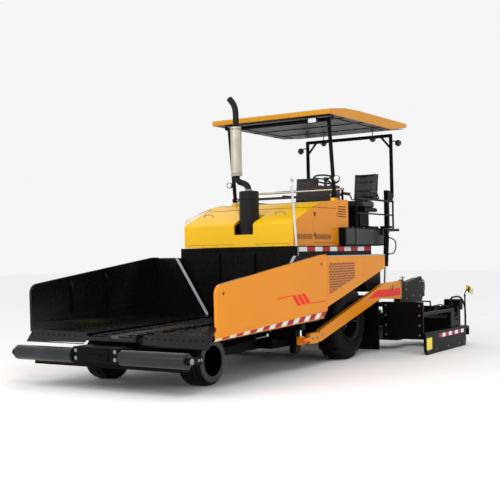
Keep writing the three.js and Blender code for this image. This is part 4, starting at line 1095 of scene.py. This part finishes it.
# ------------------------------------------------------ tow points and arms
skins("tow_point", ORA, 0.004, 2, slot_name="orange_paint")
skins("tow_arm", [ORA, BLK], 0.005, 2, pick=lambda c, n: 1 if c.y < -0.735 else 0, slot_name="orange_paint")
b = MB()
b.ball((1.296, -0.936, 0.42), 0.042, 24)
b.cyl((1.276, -0.936, 0.42), (1.29, -0.936, 0.42), 0.032, 24)
pair("tow_ball", b, ORB, "tow_points")
b = MB()
b.cyl((1.244, -0.936, 0.4752), (1.244, -0.936, 0.6045), 0.0175, 20)
pair("tow_rod", b, CHR, "tow_points")
b = MB()
b.prism([(1.08, 0.868), (1.415, 0.988), (2.30, 0.992), (2.30, 0.872), (1.33, 0.874)], "x", 1.2802, 1.2816)
pair("arm_band", b, RED2, "screed")
b = MB()
for y, z in ((-0.66, 0.427), (-0.54, 0.427), (-0.38, 0.455), (2.32, 0.835), (2.32, 1.06)):
    b.bolt((1.2803, y, z), (1, 0, 0), 0.014, 0.012)
b.cyl((1.2803, 2.01, 1.01), (1.295, 2.01, 1.01), 0.036, 24, b=0.003)
pair("arm_bolts", b, STL, "screed")
skins("lift_cylinder", BLK, 0.002, smooth=50)
skins("lift_rod", CHR, 0.0, smooth=50, slot_name="chrome_rod")
b = MB()
b.tube([(1.182, 2.105, 1.800), (1.215, 2.145, 1.79), (1.225, 2.26, 1.74), (1.215, 2.29, 1.64), (1.205, 2.23, 1.555), (1.182, 2.091, 1.54)], 0.010, 10, 8)
b.cyl((1.168, 2.112, 1.80), (1.192, 2.103, 1.80), 0.014, 12).cyl((1.169, 2.087, 1.54), (1.19, 2.091, 1.54), 0.014, 12)
pair("lift_pipe", b, PIP, "lift_barrel_*")

# ------------------------------------------------------------------ screed
skins("auger", WRN, 0.0, smooth=40, slot_name="worn_steel")
skin("screed", BLK, 0.004)
skins("screed_extension", BLK, 0.005)
skins("end_plate", BLK, 0.004)
b = MB()
# main screed: covers, bolts, heater boxes and the crown adjuster
for x in (-0.95, -0.70, 0.70, 0.95):
    b.box(x - 0.09, x + 0.09, 2.50, 2.64, 0.5602, 0.612, 0.008)
for s in (-1, 1):
    b.box(s * 0.22 - 0.13, s * 0.22 + 0.13, 2.42, 2.66, 0.7602, 0.80, 0.010)
    for k in range(4):
        b.bolt((s * (0.15 + 0.05 * k), 2.40, 0.7602), (0, 0, 1), 0.008, 0.006)
piece("screed_covers", b, DGR, "screed")
b = MB()
for s in (-1, 1):
    X = s * 1.228
    for y, z in ((2.60, 0.80), (2.60, 0.95), (2.60, 1.03), (3.20, 0.82), (3.20, 1.06), (2.90, 0.84)):
        b.bolt((s * 1.2502, y, z), (s, 0, 0), 0.012, 0.010)
    b.cyl((X, 2.52, 1.084), (X, 2.52, 1.150), 0.015, 16)
    b.ring((X, 2.52, 1.157), (0, 0, 1), 0.034, 0.006, 24, 8)
    b.box(X - 0.034, X + 0.034, 2.514, 2.526, 1.152, 1.162, 0.002)
piece("screed_hardware", b, STL, "screed")
b = MB()
for s in (-1, 1):
    X = s * 1.19
    b.box(X - 0.055, X + 0.055, 3.3305, 3.40, 0.86, 1.00, 0.008)
    b.cyl((X, 3.45, 0.80), (X, 3.45, 1.045), 0.040, 20, b=0.006)
    b.box(X - 0.03, X + 0.03, 3.39, 3.42, 0.88, 0.98, 0.003)
    b.tube([(X, 3.45, 1.04), (X, 3.47, 1.08), (X, 3.53, 1.06), (X, 3.55, 0.96), (X, 3.52, 0.86), (X, 3.486, 0.84)], 0.009, 10, 8)
piece("screed_valves", b, DGR, "screed")
b = MB()
# extension: walkway plate, grey box, adjuster screws, rails
b.box(0.93, 1.945, 3.20, 3.60, 0.3002, 0.3052, 0.002)
pair("walkway_tread", b, TRD, "extension_*")
b = MB()
for x in (1.42, 1.66):
    b.cyl((x, 2.86, 0.462), (x, 2.86, 0.655), 0.020, 18, b=0.003)
    b.cyl((x, 2.86, 0.52), (x, 2.86, 0.60), 0.038, 20, b=0.006)
    b.cyl((x, 2.86, 0.655), (x, 2.86, 0.685), 0.032, 6, b=0.003)
b.box(1.36, 1.72, 2.80, 2.92, 0.468, 0.50, 0.006)
pair("height_screws", b, DGR, "extension_*")
b = MB()
b.prism([(2.745, 0.4795), (2.99, 0.447), (2.99, 0.56), (2.745, 0.60)], "x", 0.97, 1.28)
b.prism([(2.95, 0.4523), (3.12, 0.4305), (3.12, 0.50), (2.95, 0.52)], "x", 1.38, 1.86)
for k in range(5):
    b.box(1.42 + 0.08 * k, 1.46 + 0.08 * k, 2.97, 3.10, 0.505, 0.516, 0.003)
pair("extension_boxes", b, DGR, "extension_*")
b = MB()
b.prism([(3.125, 0.4300), (3.185, 0.4230), (3.185, 0.62), (3.165, 0.655), (3.125, 0.655)], "x", 1.34, 1.935)
b.box(1.60, 1.885, 3.375, 3.525, 0.575, 0.755, 0.014, seg=2)
b.box(1.64, 1.845, 3.3675, 3.3755, 0.60, 0.735, 0.003)
b.box(1.715, 1.765, 3.43, 3.47, 0.3055, 0.58, 0.004)
b.box(1.865, 1.935, 3.20, 3.26, 0.3055, 0.60, 0.004)
b.cyl((1.905, 2.785, 0.475), (1.905, 3.125, 0.475), 0.030, 18, b=0.004)
b.cyl((1.905, 2.785, 0.540), (1.905, 3.125, 0.540), 0.022, 18, b=0.004)
pair("extension_gear", b, BLK, "extension_*")
b = MB()
for k, (x0, z1) in enumerate(((1.50, 0.665), (1.57, 0.68), (1.64, 0.66))):
    b.tube([(x0, 2.90, 0.52), (x0 + 0.02, 2.95, 0.60), (x0 + 0.07, 3.02, z1), (x0 + 0.16, 3.08, z1 - 0.02), (x0 + 0.20, 3.11, 0.58), (x0 + 0.20, 3.127, 0.55)], 0.009, 10, 8)
for k, (x0, z0) in enumerate(((1.66, 0.64), (1.72, 0.66), (1.78, 0.68))):
    b.tube([(x0, 3.366, z0), (x0 - 0.01, 3.33, z0 - 0.01), (x0 - 0.03, 3.27, z0 - 0.07), (x0 - 0.04, 3.21, z0 - 0.10), (x0 - 0.04, 3.184, z0 - 0.10)], 0.008, 10, 8)
pair("extension_pipes", b, PIP, "extension_*")
b = MB()
b.tube([(1.954, 2.78, 0.640), (1.954, 2.78, 0.76), (1.954, 2.84, 0.815), (1.954, 3.20, 0.800), (1.954, 3.40, 0.66), (1.945, 3.46, 0.50), (1.945, 3.46, 0.302)], 0.016, 12, 8)
b.tube([(0.955, 3.585, 0.302), (0.955, 3.585, 0.66), (0.985, 3.585, 0.70), (1.24, 3.585, 0.70), (1.28, 3.585, 0.66), (1.28, 3.585, 0.302)], 0.013, 12, 6)
b.tube([(1.90, 3.585, 0.302), (1.90, 3.585, 0.80)], 0.013, 12, 1)
b.box(1.885, 1.915, 3.572, 3.598, 0.80, 0.83, 0.003)
b.tube([(1.90, 3.585, 0.815), (1.905, 3.585, 0.86), (1.94, 3.583, 0.905), (1.99, 3.5845, 0.918)], 0.009, 10, 6)
pair("extension_rails", b, BLK, "extension_*")
# striped marker board on the rear post
k1, k2, k3 = MB(), MB(), MB()
for mb, u0, u1 in ((k1, 0.00, 0.045), (k2, 0.045, 0.075), (k1, 0.075, 0.105), (k3, 0.105, 0.15)):
    q = []
    for u, w in ((u0, 0.0), (u1, 0.0), (u1, 0.105), (u0, 0.105)):
        q.append((1.915 + u * 0.80 + w * 0.14, 0.900 - u * 0.58 + w * 0.98))
    mb.prism(q, "y", 3.588, 3.594)
pair("marker_yellow", k1, YST, "extension_*")
pair("marker_black", k2, DRK, "extension_*")
pair("marker_white", k3, WHT, "extension_*")
# end plate: tape, bare yellow sticker, shoe bolts
r, w = MB(), MB()
for i in range(8):
    y0, y1 = 2.10 + i * 0.14, 2.10 + (i + 0.94) * 0.14
    (r if i % 2 == 0 else w).box(2.0021, 2.0034, y0, y1, 0.225, 0.285, 0)
pair("edge_tape_red", r, RED, "extension_*")
pair("edge_tape_white", w, WHT, "extension_*")
b = MB()
b.box(2.0021, 2.0034, 1.585, 1.80, 0.075, 0.255, 0)
pair("edge_sticker", b, YST, "extension_*")
b = MB()
for y in (1.66, 2.0, 2.5, 3.0, 3.25):
    b.bolt((2.0022, y, 0.06), (1, 0, 0), 0.010, 0.007)
for z in (0.30, 0.45, 0.60, 0.75):
    for x in (1.35, 1.9):
        b.bolt((x, 1.5598, z), (0, -1, 0), 0.010, 0.008)
pair("shoe_bolts", b, STL, "extension_*")

# ------------------------------------------------------ stage, light, camera
m = Mat("floor_pale")
m.link(m.mix(m.rng(m.noise(0.8, 3), 0.3, 0.7), (0.93, 0.93, 0.93), (0.95, 0.95, 0.95)), m.b.inputs["Base Color"])
m.b.inputs["Roughness"].default_value = 0.85
me = bpy.data.meshes.new("floor")
k = bmesh.new()
S = 60
prof = [(-S, 0), (30, 0), (38, 2), (42, 7), (44, 30)]
me.from_pydata([(-S, -S, 0), (S, -S, 0), (S, S, 0), (-S, S, 0)], [], [(0, 1, 2, 3)])
k.free()
fl = bpy.data.objects.new("floor", me)
me.materials.append(m.m)
SC.collection.objects.link(fl)

world = bpy.data.worlds.new("studio")
SC.world = world
world.use_nodes = True
bg = world.node_tree.nodes["Background"]
bg.inputs[0].default_value = (1.0, 1.0, 1.0, 1)
bg.inputs[1].default_value = 0.92


def area(name, loc, to, size, power):
    L = bpy.data.lights.new(name, "AREA")
    L.shape = "RECTANGLE"
    L.size, L.size_y = size
    L.energy = power
    o = bpy.data.objects.new(name, L)
    o.location = loc
    o.rotation_euler = (Vector(to) - Vector(loc)).to_track_quat("-Z", "Y").to_euler()
    SC.collection.objects.link(o)
    return o


area("key", (7, -9, 9), (0, -0.5, 1), (3, 3), 420)
area("front", (-3, -12, 7), (0, -1, 1), (5, 3), 300)
SC.view_settings.view_transform = "Standard"

a, p, ro = 0.568929, 0.0052, -0.0180
fwd = Vector((-math.sin(a) * math.cos(p), math.cos(a) * math.cos(p), math.sin(p)))
right = Vector((math.cos(a), math.sin(a), 0))
up = right.cross(fwd)
r2 = right * math.cos(ro) + up * math.sin(ro)
u2 = up * math.cos(ro) - right * math.sin(ro)
cam = bpy.data.cameras.new("camera")
cam.sensor_width = 36
cam.lens = 66.30
cam.clip_end = 200
co = bpy.data.objects.new("camera", cam)
Mx = Matrix((r2, u2, -fwd)).transposed().to_4x4()
Mx.translation = Vector((7.2706, -11.5641, 1.5673))
co.matrix_world = Mx
SC.collection.objects.link(co)
SC.camera = co
